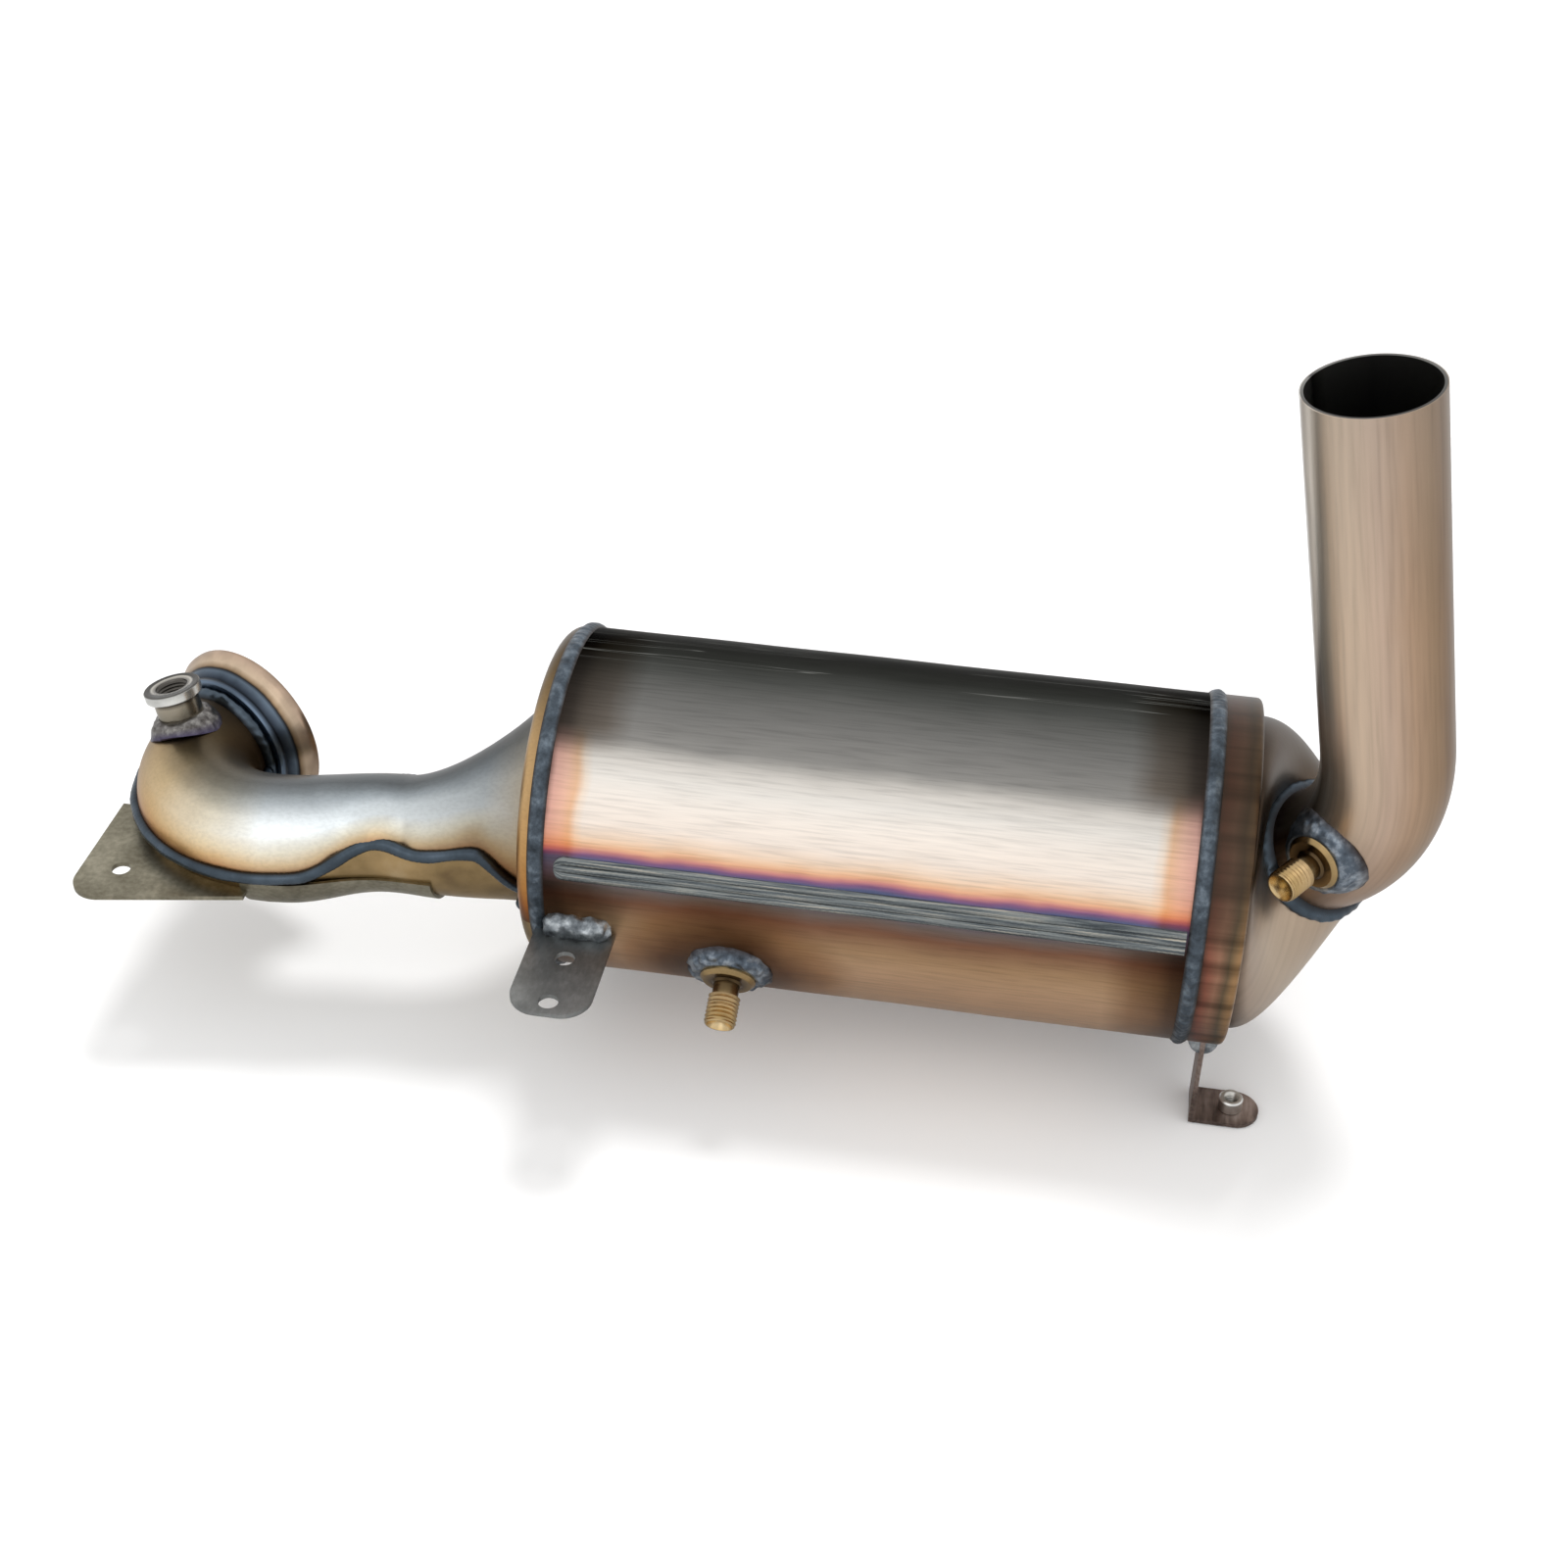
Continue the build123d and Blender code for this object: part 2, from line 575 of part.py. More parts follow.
def foot_bracket(cap):
    """The strip under the outlet cap, bent into a tongue with a rounded end."""
    x = HALF + FOOT_AT
    wide = (-FOOT_FORWARD - FOOT_WIDTH / 2, -FOOT_FORWARD + FOOT_WIDTH / 2)
    top = FOOT_Z + SHEET
    reach = FOOT_TONGUE - FOOT_WIDTH / 2
    strip = block((x, x + SHEET), wide, (FOOT_Z, 0))
    tongue = block((x, x + reach), wide, (FOOT_Z, top))
    end = post(x + reach, -FOOT_FORWARD, FOOT_Z, top, FOOT_WIDTH / 2)
    hole = post(x + NUT_FROM_STRIP, -FOOT_FORWARD, FOOT_Z - 1, top + 1, FOOT_HOLE_D / 2)
    return strip + tongue + end - hole - cap


def foot_weld(foot):
    """Fillet welds on both faces of the strip where it meets the cap."""
    x = HALF + FOOT_AT + SHEET / 2
    bead = ring_bead(Vector(x, 0, 0), Vector(1, 0, 0), CAN_R, FOOT_WELD_WIDTH, FOOT_WELD_HEIGHT)
    reach = FOOT_WIDTH / 2 - 1
    wide = (-FOOT_FORWARD - reach, -FOOT_FORWARD + reach)
    window = block((x - FOOT_WELD_WIDTH, x + FOOT_WELD_WIDTH), wide, (-CAN_OD, 0))
    return (bead & window) - foot


def weld_nut():
    """The round weld nut on the tongue."""
    x = HALF + FOOT_AT + NUT_FROM_STRIP
    low = FOOT_Z + SHEET
    high = low + NUT_HEIGHT
    body = post(x, -FOOT_FORWARD, low, high, NUT_D / 2)
    return body - post(x, -FOOT_FORWARD, low, high, NUT_HOLE_D / 2)


def bricks():
    """The oxidation catalyst brick and the filter brick, each in its mat."""
    brick_r = CAN_R - SHELL_WALL - MAT_THICKNESS
    inner_r = CAN_R - SHELL_WALL
    start = -HALF + DOC_START
    second = start + DOC_LENGTH + BRICK_GAP
    out = {}
    for name, low, length in (("oxidation", start, DOC_LENGTH), ("filter", second, DPF_LENGTH)):
        out[name + "_brick"] = drum(low, low + length, brick_r)
        sleeve = drum(low + MAT_INSET, low + length - MAT_INSET, inner_r)
        out[name + "_mat"] = sleeve - drum(low, low + length, brick_r)
    return out


def build():
    """Every piece by its node name."""
    can = drum(-HALF, HALF, CAN_R)
    inlet = inlet_body()
    outlet = outlet_body()
    pipe = pipe_bar(PIPE_R)
    up = upstream_plane()
    down = downstream_plane()
    pieces = bricks()
    shell = can - drum(-HALF - 1, HALF + 1, CAN_R - SHELL_WALL)
    pieces["can_shell"] = shell - up * Cylinder(NIPPLE_SHANK_D / 2 + HOLE_PLAY, 4 * SHELL_WALL)
    pieces["can_seam_weld"] = seam_weld(can)
    upper, lower = inlet_halves(inlet)
    pieces["inlet_upper_half"] = upper
    pieces["inlet_lower_half"] = lower
    flange_bead = flange_weld(inlet)
    cradle = elbow_bracket(inlet)
    front_seam, back_seam = inlet_seam(inlet)
    pieces["inlet_seam_weld"] = front_seam - flange_bead - cradle
    pieces["inlet_back_seam_weld"] = back_seam - flange_bead - cradle
    plate = can_bracket(can, inlet)
    plate_weld = can_bracket_weld(can, plate)
    girth = (Vector(1, 0, 0), CAN_R, GIRTH_BEAD_WIDTH, GIRTH_BEAD_HEIGHT)
    pieces["inlet_girth_weld"] = ring_bead(Vector(-HALF, 0, 0), *girth) - plate - plate_weld
    pieces["outlet_girth_weld"] = ring_bead(Vector(HALF, 0, 0), *girth)
    pieces["inlet_flange"] = inlet_flange()
    pieces["inlet_flange_weld"] = flange_bead
    pieces["sensor_boss"] = sensor_boss(inlet)
    pieces["sensor_boss_weld"] = boss_weld(inlet)
    pieces["outlet_cap"] = outlet - outlet_body(-CAP_WALL, past=1.0)
    nipple_hole = down * Cylinder(NIPPLE_SHANK_D / 2 + HOLE_PLAY, 6 * PIPE_WALL)
    pieces["outlet_pipe"] = pipe - pipe_bar(PIPE_R - PIPE_WALL) - nipple_hole
    neck_ring = ring_bead(NECK, NECK_AXIS, PIPE_R + SLIP_FIT, PIPE_BEAD_WIDTH, PIPE_BEAD_HEIGHT)
    pieces["outlet_pipe_weld"] = neck_ring - outlet
    pieces["upstream_nipple"] = nipple(up)
    pieces["upstream_nipple_weld"] = nipple_weld(up, can)
    pieces["downstream_nipple"] = nipple(down)
    pieces["downstream_nipple_weld"] = nipple_weld(down, pipe) - neck_ring - outlet
    pieces["can_bracket"] = plate
    pieces["can_bracket_weld"] = plate_weld
    pieces["elbow_bracket"] = cradle
    foot = foot_bracket(outlet)
    pieces["foot_bracket"] = foot
    pieces["foot_bracket_weld"] = foot_weld(foot)
    pieces["weld_nut"] = weld_nut()
    return pieces


os.makedirs("parts", exist_ok=True)
for name, piece in build().items():
    export_step(Pos(*(-FLANGE_FACE)) * piece, "parts/" + name + ".step")
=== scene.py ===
import math
import bpy
import numpy as np
from mathutils import Matrix, Vector


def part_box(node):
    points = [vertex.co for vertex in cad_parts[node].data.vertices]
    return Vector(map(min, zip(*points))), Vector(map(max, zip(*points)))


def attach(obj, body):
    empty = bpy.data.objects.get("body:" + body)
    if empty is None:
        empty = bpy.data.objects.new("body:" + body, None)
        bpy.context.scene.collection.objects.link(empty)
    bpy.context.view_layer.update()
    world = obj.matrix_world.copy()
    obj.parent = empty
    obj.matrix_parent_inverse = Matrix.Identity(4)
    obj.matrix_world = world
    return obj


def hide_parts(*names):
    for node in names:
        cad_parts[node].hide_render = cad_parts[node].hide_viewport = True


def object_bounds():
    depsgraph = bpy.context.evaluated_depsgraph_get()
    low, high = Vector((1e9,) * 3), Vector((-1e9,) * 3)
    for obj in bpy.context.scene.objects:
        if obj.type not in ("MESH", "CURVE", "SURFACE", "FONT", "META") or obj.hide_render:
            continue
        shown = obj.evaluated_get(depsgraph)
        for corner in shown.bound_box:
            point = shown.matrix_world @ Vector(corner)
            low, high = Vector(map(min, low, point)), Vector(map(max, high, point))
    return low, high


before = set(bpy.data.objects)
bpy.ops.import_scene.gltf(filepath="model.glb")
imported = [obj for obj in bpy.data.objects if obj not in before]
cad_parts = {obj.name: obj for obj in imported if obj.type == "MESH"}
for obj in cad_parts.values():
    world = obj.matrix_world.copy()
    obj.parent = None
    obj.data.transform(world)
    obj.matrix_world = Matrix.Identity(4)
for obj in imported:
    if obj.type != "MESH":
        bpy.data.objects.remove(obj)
cad_low, cad_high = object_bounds()

# The studio: a pale floor just under the foot's tongue, an even white surround, one high soft sun for
# the shadow and one wide soft lamp from the front. The lens looks from where the photograph was taken.
# Lengths in this file are in millimetres about the middle of the can's axis: X runs from the inlet to
# the outlet, Z is up and the viewer's side is -Y.
can_low, can_high = (np.array(corner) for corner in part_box("can_shell"))
CAN_MIDDLE = (can_low + can_high) / 2
MM = 0.001
CAMERA_AT = np.array((82.7726, -761.1983, 586.2977))
CAMERA_RIGHT = (0.9849641, 0.1721695, 0.0142604)
CAMERA_UP = (-0.1134980, 0.5826548, 0.8047556)
CAMERA_BACK = (0.1302455, -0.7942739, 0.5934350)
FOCAL_PIXELS = 2346.4655
PHOTO_PIXELS = 1600
SENSOR = 36.0

camera = bpy.data.objects.new("camera", bpy.data.cameras.new("camera"))
camera.data.sensor_width = SENSOR
camera.data.lens = SENSOR * FOCAL_PIXELS / PHOTO_PIXELS
place = Matrix.Translation(Vector(CAN_MIDDLE + CAMERA_AT * MM))
camera.matrix_world = place @ Matrix((CAMERA_RIGHT, CAMERA_UP, CAMERA_BACK)).transposed().to_4x4()
bpy.context.scene.collection.objects.link(camera)
bpy.context.scene.camera = camera
bpy.context.scene.view_settings.view_transform = "Standard"


def linear(code):
    """An sRGB hex colour as linear red, green, blue and alpha."""
    parts = np.array([int(code[at:at + 2], 16) for at in (0, 2, 4)]) / 255
    parts = np.where(parts <= 0.04045, parts / 12.92, ((parts + 0.055) / 1.055) ** 2.4)
    return (*parts.tolist(), 1.0)


def add(tree, kind, inputs=(), stops=(), **settings):
    """Adds one node to a tree, with its settings, its colour stops and its values or links, and
    returns its outputs."""
    made = tree.nodes.new("ShaderNode" + kind)
    for name, value in settings.items():
        setattr(made, name, value)
    if stops:
        band = made.color_ramp.elements
        while len(band) > 1:
            band.remove(band[-1])
        band[0].position = stops[0][0]
        band[0].color = linear(stops[0][1])
        for at, code in stops[1:]:
            band.new(at).color = linear(code)
    for name, value in dict(inputs).items():
        if isinstance(value, bpy.types.NodeSocket):
            tree.links.new(value, made.inputs[name])
        else:
            made.inputs[name].default_value = value
    return made.outputs


def fresh(name):
    """A new material and its empty node tree."""
    material = bpy.data.materials.new(name)
    material.use_nodes = True
    material.node_tree.nodes.clear()
    return material, material.node_tree


FLOOR_HALF = 8.0
floor_z = cad_low.z - MM
corners = [(x * FLOOR_HALF, y * FLOOR_HALF, floor_z) for x, y in ((-1, -1), (1, -1), (1, 1), (-1, 1))]
floor_mesh = bpy.data.meshes.new("floor")
floor_mesh.from_pydata(corners, [], [(0, 1, 2, 3)])
floor = bpy.data.objects.new("floor", floor_mesh)
bpy.context.scene.collection.objects.link(floor)
# Matt white paper, as a studio sweep is: full white to the lens, a little less in reflections.
paper, tree = fresh("white_paper_sweep")
seen = add(tree, "LightPath")["Is Camera Ray"]
white = add(tree, "MixRGB", {0: seen, 1: linear("dcdcdc"), 2: linear("ffffff")})[0]
matt = add(tree, "BsdfDiffuse", {"Color": white, "Roughness": 1.0})["BSDF"]
add(tree, "OutputMaterial", {"Surface": matt})
floor_mesh.materials.append(paper)

# The surround is full white to the lens and in reflections, and a little less as soft light.
SKY_LIGHT = 0.94
world = bpy.data.worlds.new("studio")
bpy.context.scene.world = world
world.use_nodes = True
tree = world.node_tree
tree.nodes.clear()
ray = add(tree, "LightPath")
seen = add(tree, "Math", {0: ray["Is Camera Ray"], 1: ray["Is Glossy Ray"]}, operation="MAXIMUM")[0]
seen = add(tree, "Math", {0: seen, 1: ray["Is Transmission Ray"]}, operation="MAXIMUM")[0]
strength = add(tree, "Math", {0: seen, 1: 1 - SKY_LIGHT, 2: SKY_LIGHT}, operation="MULTIPLY_ADD")[0]
sky = add(tree, "Background", {"Color": linear("ffffff"), "Strength": strength})["Background"]
add(tree, "OutputWorld", {"Surface": sky})

sun = bpy.data.objects.new("high_sun", bpy.data.lights.new("high_sun", "SUN"))
sun.data.energy = 1.2
sun.data.angle = math.radians(15)
sun.rotation_euler = (math.radians(-14), math.radians(3), 0)
sun.visible_glossy = False
bpy.context.scene.collection.objects.link(sun)
front = bpy.data.objects.new("front_lamp", bpy.data.lights.new("front_lamp", "AREA"))
front.data.size = 0.9
front.data.energy = 1.1
front.location = Vector((0.05, -1.1, 1.0))
front_aim = Vector((0.25, -0.03, 0.0))
front.rotation_euler = (front_aim - front.location).to_track_quat("-Z", "Y").to_euler()
bpy.context.scene.collection.objects.link(front)


# The can: a tube rolled from 1.5 mm ferritic stainless sheet, brushed along its length. Heat has left
# pink and orange by the ring welds and purple and blue above the long seam. Over these lie painted
# reflections: a cream band on the viewer's side, a near-black band along the top, a brighter lower side.
CAN_R = 71.5
HALF = 130.7
WALL = 1.5
SIDE = np.array((0.0, -1.0, 0.0))
UP = np.array((0.0, 0.0, 1.0))


def tube_grid(centres, radii, sides, turns):
    """Rings round a line: each ring's point is its centre, plus its radius times the cosine of the turn
    towards its side and the sine of the turn upwards."""
    arm = np.cos(turns)[..., None] * sides[:, None, :] + np.sin(turns)[..., None] * UP
    return centres[:, None, :] + radii[:, None, None] * arm


def normals(points, loop_along=False, loop_around=True):
    """Unit normals of a grid: the cross product of the steps between neighbours round and along it."""
    def step(axis, looped):
        if looped:
            return np.roll(points, -1, axis) - np.roll(points, 1, axis)
        return np.gradient(points, axis=axis)
    across = np.cross(step(1, loop_around), step(0, loop_along))
    return across / np.maximum(np.linalg.norm(across, axis=-1, keepdims=True), 1e-9)


def uneven(points, size, seed):
    """Unevenness between about -1 and 1: the sum of 24 sine waves in seeded directions, each with a
    wavelength near the size in millimetres, over about twice what the sum usually comes to."""
    count, spread = 24, 6.5
    chance = np.random.default_rng(seed)
    waves = chance.normal(size=(count, 3))
    waves *= (2 * math.pi / size) / np.linalg.norm(waves, axis=1, keepdims=True)
    waves *= chance.uniform(0.7, 1.5, size=(count, 1))
    return np.sin(points @ waves.T + chance.uniform(0, 2 * math.pi, count)).sum(-1) / spread


def skin(name, points, spot, material, loop_along=False, loop_around=True, ends=False):
    """Puts a grid of points into a mesh of four-sided faces, closed on itself where asked, with flat
    ends where asked. The spot map gives each corner two numbers that its finish is painted by."""
    sharp_from = math.radians(38)
    rows, columns = points.shape[:2]
    i, j = np.meshgrid(
        np.arange(rows if loop_along else rows - 1),
        np.arange(columns if loop_around else columns - 1), indexing="ij")
    corner_i = np.stack((i, i, i + 1, i + 1), -1).reshape(-1, 4)
    corner_j = np.stack((j, j + 1, j + 1, j), -1).reshape(-1, 4)
    faces = ((corner_i % rows) * columns + corner_j % columns).tolist()
    corners = spot[corner_i, corner_j].reshape(-1, 2)
    if ends:
        first = np.arange(columns)[::-1]
        last = first[::-1] + (rows - 1) * columns
        faces += [first.tolist(), last.tolist()]
        corners = np.concatenate((corners, spot[0, first], spot[rows - 1, first[::-1]]))
    mesh = bpy.data.meshes.new(name)
    mesh.from_pydata((points.reshape(-1, 3) * MM + CAN_MIDDLE).tolist(), [], faces)
    mesh.uv_layers.new(name="spot").uv.foreach_set("vector", corners.astype(np.float32).ravel())
    mesh.polygons.foreach_set("use_smooth", np.ones(len(mesh.polygons), bool))
    mesh.set_sharp_from_angle(angle=sharp_from)
    mesh.materials.append(material)
    piece = bpy.data.objects.new(name, mesh)
    bpy.context.scene.collection.objects.link(piece)
    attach(piece, "root")
    return piece


def spots(along, around):
    """The spot map of a grid: every pair of a number along and a number round it."""
    return np.stack(np.meshgrid(along, around, indexing="ij"), -1)


def on_axis(x):
    """Points on the can's axis at each X."""
    return np.stack((x, x * 0, x * 0), 1)


def brushed(tree, vector, stretch, size_mm, depth):
    """Brush marks: noise with one grain per size, drawn out by the stretch, as a share from 0 to 1 and
    as a bump of that depth in metres."""
    squeezed = add(tree, "Mapping", {"Vector": vector, "Scale": stretch})[0]
    grain = add(tree, "TexNoise", {"Vector": squeezed, "Scale": 1000 / size_mm, "Detail": 4.0})[0]
    return grain, add(tree, "Bump", {"Height": grain, "Distance": depth, "Strength": 0.6})[0]


def bare_metal(tree, colour, roughness, bump, more=()):
    """Ends a finish as bare metal of that colour, roughness and bump."""
    shader = add(tree, "BsdfPrincipled", {
        "Base Color": colour, "Metallic": 1.0, "Roughness": roughness, "Normal": bump, **dict(more)})["BSDF"]
    add(tree, "OutputMaterial", {"Surface": shader})


# Brushed ferritic stainless: metal, satin, with lengthwise scratches, oxide colours and painted light over
# it.
stainless, tree = fresh("brushed_stainless_can")
spot = add(tree, "UVMap", uv_map="spot")[0]
spot_x, spot_turn = add(tree, "SeparateXYZ", {0: spot})[:2]
place = add(tree, "TexCoord")["Object"]
streaks, marks = brushed(tree, place, (0.045, 1.0, 1.0), 1.0, 0.00002)
blotches = add(tree, "TexNoise", {"Vector": place, "Scale": 28.0, "Detail": 3.0})[0]
shifted = add(tree, "Math", {0: blotches, 1: 0.012, 2: -0.006}, operation="MULTIPLY_ADD")[0]
turn = add(tree, "Math", {0: spot_turn, 1: shifted})[0]


def turn_stops(stops):
    """Colour stops by degrees above the level of the axis on the viewer's side, as places on a whole
    turn that starts at the bottom."""
    return [((degrees + 90) / 360, code) for degrees, code in stops]


# Colour by turn round the can. The gold below, the seam, and the purple and pink heat tint above it are the
# can's own. The cream band from 24 to 50 degrees and the near-black band from 86 to 126 degrees are painted
# reflections. The lower side is painted brighter for the light it would reflect.
tint_and_painted_light = add(tree, "ValToRGB", {0: turn}, stops=turn_stops((
    (-90, "8a6a50"), (-40, "dcb896"), (-20, "deb996"), (-6, "b3916e"), (3, "825c48"), (7, "74665f"),
    (16.4, "5a6a88"), (17.8, "6d5c86"), (19, "b0708c"), (20.2, "e8a088"), (21.6, "f4c49a"), (24.5, "f6dcc4"),
    (29, "f3e6da"), (44, "dcd7d0"), (50, "d0cbc4"), (56, "92908c"), (68, "7c7b78"), (86, "50514e"),
    (96, "3a3b38"), (110, "353533"), (126, "5b5955"), (190, "7a7064"), (269, "8a6a50"))))[0]
# Painted dark reflection as well: the specular tint drops over the top, so that the painted dark band stays
# dark at grazing angles.
painted_dark_top_tint = add(tree, "ValToRGB", {0: turn}, stops=turn_stops((
    (56, "ffffff"), (84, "c4c4c4"), (96, "b2b2b2"), (114, "a8a8a8"), (130, "b0b0b0"), (269, "ffffff"))))[0]
from_end = add(tree, "Math", {0: spot_x, 1: 0.5}, operation="SUBTRACT")[0]
from_end = add(tree, "Math", {0: from_end}, operation="ABSOLUTE")[0]
from_end = add(tree, "Math", {0: 0.5, 1: from_end}, operation="SUBTRACT")[0]
from_end = add(tree, "Math", {0: blotches, 1: 0.03, 2: from_end}, operation="MULTIPLY_ADD")[0]
# The ring welds' heat tint near each end comes in two copies. The pink and orange one is painted lit, and the
# dull grey-brown one is painted shaded. The painted lit band, from 7 to 60 degrees, picks the lit copy.
# Elsewhere the shaded copy lies in the painted dark band.
lit_heat_tint = add(tree, "ValToRGB", {0: from_end}, stops=(
    (0.024, "7a5e5c"), (0.034, "e6bab2"), (0.052, "f6ccbc"), (0.068, "f6d0b0"), (0.078, "fff4ea"),
    (0.09, "ffffff")))[0]
shaded_heat_tint = add(tree, "ValToRGB", {0: from_end}, stops=(
    (0.028, "6a605a"), (0.045, "7c726c"), (0.065, "a89c92"), (0.1, "cabfb6"), (0.14, "ffffff")))[0]
painted_lit_band = add(tree, "ValToRGB", {0: turn}, stops=turn_stops((
    (7, "000000"), (14, "ffffff"), (50, "ffffff"), (60, "000000"))))[0]
heat_tint_lit_and_shaded = add(tree, "MixRGB", {0: painted_lit_band, 1: shaded_heat_tint, 2: lit_heat_tint})[0]
heat_tinted_and_painted = add(tree, "MixRGB", {0: 1.0, 1: tint_and_painted_light, 2: heat_tint_lit_and_shaded}, blend_type="MULTIPLY")[0]
shade = add(tree, "ValToRGB", {0: streaks}, stops=((0.3, "cecece"), (0.5, "f0f0f0"), (0.7, "ffffff")))[0]
streaked = add(tree, "MixRGB", {0: 0.55, 1: heat_tinted_and_painted, 2: shade}, blend_type="MULTIPLY")[0]
# The can is painted darker round the place where the upstream tap is welded on.
TAP_DARKENING_AT = np.array((-52.7, -64.0, -31.9))
from_tap = {0: place, 1: tuple(CAN_MIDDLE + TAP_DARKENING_AT * MM)}
tap_darkening_reach = add(tree, "VectorMath", from_tap, operation="DISTANCE")["Value"]
tap_darkening_reach = add(tree, "Math", {0: blotches, 1: 0.02, 2: tap_darkening_reach}, operation="MULTIPLY_ADD")[0]
darker_round_tap = add(tree, "ValToRGB", {0: tap_darkening_reach}, stops=(
    (0.026, "6b625c"), (0.036, "8d7a6b"), (0.05, "d9cabb"), (0.062, "ffffff")))[0]
tinted = add(tree, "MixRGB", {0: 1.0, 1: streaked, 2: darker_round_tap}, blend_type="MULTIPLY")[0]
# Thin pale crease lines run along the dark top band of painted reflection.
lengthwise = add(tree, "Mapping", {"Vector": spot, "Scale": (1.3, 120.0, 1.0)})[0]
creases = add(tree, "TexNoise", {"Vector": lengthwise, "Scale": 1.0, "Detail": 2.0})[0]
creases = add(tree, "ValToRGB", {0: creases}, stops=(
    (0.585, "000000"), (0.6, "ffffff"), (0.615, "000000")))[0]
crease_band = add(tree, "ValToRGB", {0: spot_turn}, stops=turn_stops((
    (87, "000000"), (93, "ffffff"), (108, "ffffff"), (114, "000000"))))[0]
creases = add(tree, "Math", {0: creases, 1: crease_band}, operation="MULTIPLY")[0]
tinted = add(tree, "MixRGB", {0: creases, 1: tinted, 2: linear("7c7d79")})[0]
satin = add(tree, "Math", {0: streaks, 1: 0.14, 2: 0.3}, operation="MULTIPLY_ADD")[0]
bare_metal(tree, tinted, satin, marks, {"Specular Tint": painted_dark_top_tint})

# Rings down the outside and back up the bore; the outside is uneven by about 0.1 mm, as rolled sheet is.
UNEVEN = 0.12
outer_x = HALF - np.linspace(0, 1, 80) * 2 * HALF
bore_x = np.array((-HALF, -HALF / 3, HALF / 3, HALF))
centres = on_axis(np.append(outer_x, bore_x))
radii = np.repeat((CAN_R, CAN_R - WALL), (len(outer_x), len(bore_x)))
turns = np.linspace(-math.pi / 2, 1.5 * math.pi, 241)
rings = tube_grid(centres, radii, SIDE[None], turns[None, :-1])
between_ends = slice(1, len(outer_x) - 1)
facing = normals(rings[:len(outer_x)])[between_ends]
rings[between_ends] += facing * uneven(rings[between_ends], size=70, seed=3)[..., None] * UNEVEN
along = (np.append(centres[:, 0], HALF) + HALF) / (2 * HALF)
around = (turns + math.pi / 2) / (2 * math.pi)
can = skin("can_tube", rings, spots(along, around), stainless, loop_along=True)
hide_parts("can_shell")


# The can's long seam: three low ridges side by side that a seam welder's wheels leave along the join,
# blue-grey with thin pale and dark lines drawn out along it.
SEAM_TURN = math.radians(12.5)
SEAM_HALF = 123.0
SEAM_PITCH = 3.3
SEAM_OVER = np.linspace(0, 1, 33)


def spot_numbers(tree):
    """The spot map's two numbers."""
    return add(tree, "SeparateXYZ", {0: add(tree, "UVMap", uv_map="spot")[0]})


def weld_metal(name, dark, middle, bright, grain_mm, depth, rim="", rough=(0.55, 0.3)):
    """Bare weld metal: rough, grey-blue with specks of scale and bright facets, from noise whose cells
    are 2.2 grains wide. The rim is what heat leaves at its edges, painted by the spot map's first
    number, which runs from 0 to 1 over the bead."""
    material, tree = fresh(name)
    place = add(tree, "TexCoord")["Object"]
    grain = add(tree, "TexNoise", {"Vector": place, "Scale": 1000 / (2.2 * grain_mm), "Detail": 6.0,
                                   "Roughness": 0.65})[0]
    broad = add(tree, "TexNoise", {"Vector": place, "Scale": 110.0, "Detail": 2.0})[0]
    mixed = add(tree, "Math", {0: broad, 1: 0.5, 2: grain}, operation="MULTIPLY_ADD")[0]
    colour = add(tree, "ValToRGB", {0: mixed}, stops=((0.52, dark), (0.74, middle), (0.95, bright)))[0]
    if rim:
        over = spot_numbers(tree)[0]
        off = add(tree, "Math", {0: over, 1: 0.5}, operation="SUBTRACT")[0]
        off = add(tree, "Math", {0: off}, operation="ABSOLUTE")[0]
        share = add(tree, "MapRange", {0: off, 1: 0.32, 2: 0.5, 3: 0.0, 4: 0.9})[0]
        colour = add(tree, "MixRGB", {0: share, 1: colour, 2: linear(rim)})[0]
    shine = add(tree, "MapRange", {0: grain, 1: 0.3, 2: 0.7, 3: rough[0], 4: rough[1]})[0]
    bump = add(tree, "Bump", {"Height": grain, "Distance": depth, "Strength": 0.8})[0]
    bare_metal(tree, colour, shine, bump)
    return material


def rolled_weld():
    """Weld metal drawn out along the seam: grey-blue lines with thin pale and dark ones between."""
    material, tree = fresh("rolled_seam_steel")
    over, run = spot_numbers(tree)[:2]
    run = add(tree, "Math", {0: run, 1: 0.002}, operation="MULTIPLY")[0]
    line = add(tree, "CombineXYZ", {0: over, 1: run, 2: 0.0})[0]
    drawn = add(tree, "TexNoise", {"Vector": line, "Scale": 13.0, "Detail": 5.0, "Roughness": 0.6})[0]
    colour = add(tree, "ValToRGB", {0: drawn}, stops=(
        (0.36, "464b4f"), (0.45, "63696c"), (0.54, "7f8484"), (0.62, "9c9b94"), (0.7, "c2bbac")))[0]
    bump = add(tree, "Bump", {"Height": drawn, "Distance": 0.0005, "Strength": 0.8})[0]
    bare_metal(tree, colour, 0.38, bump)
    return material


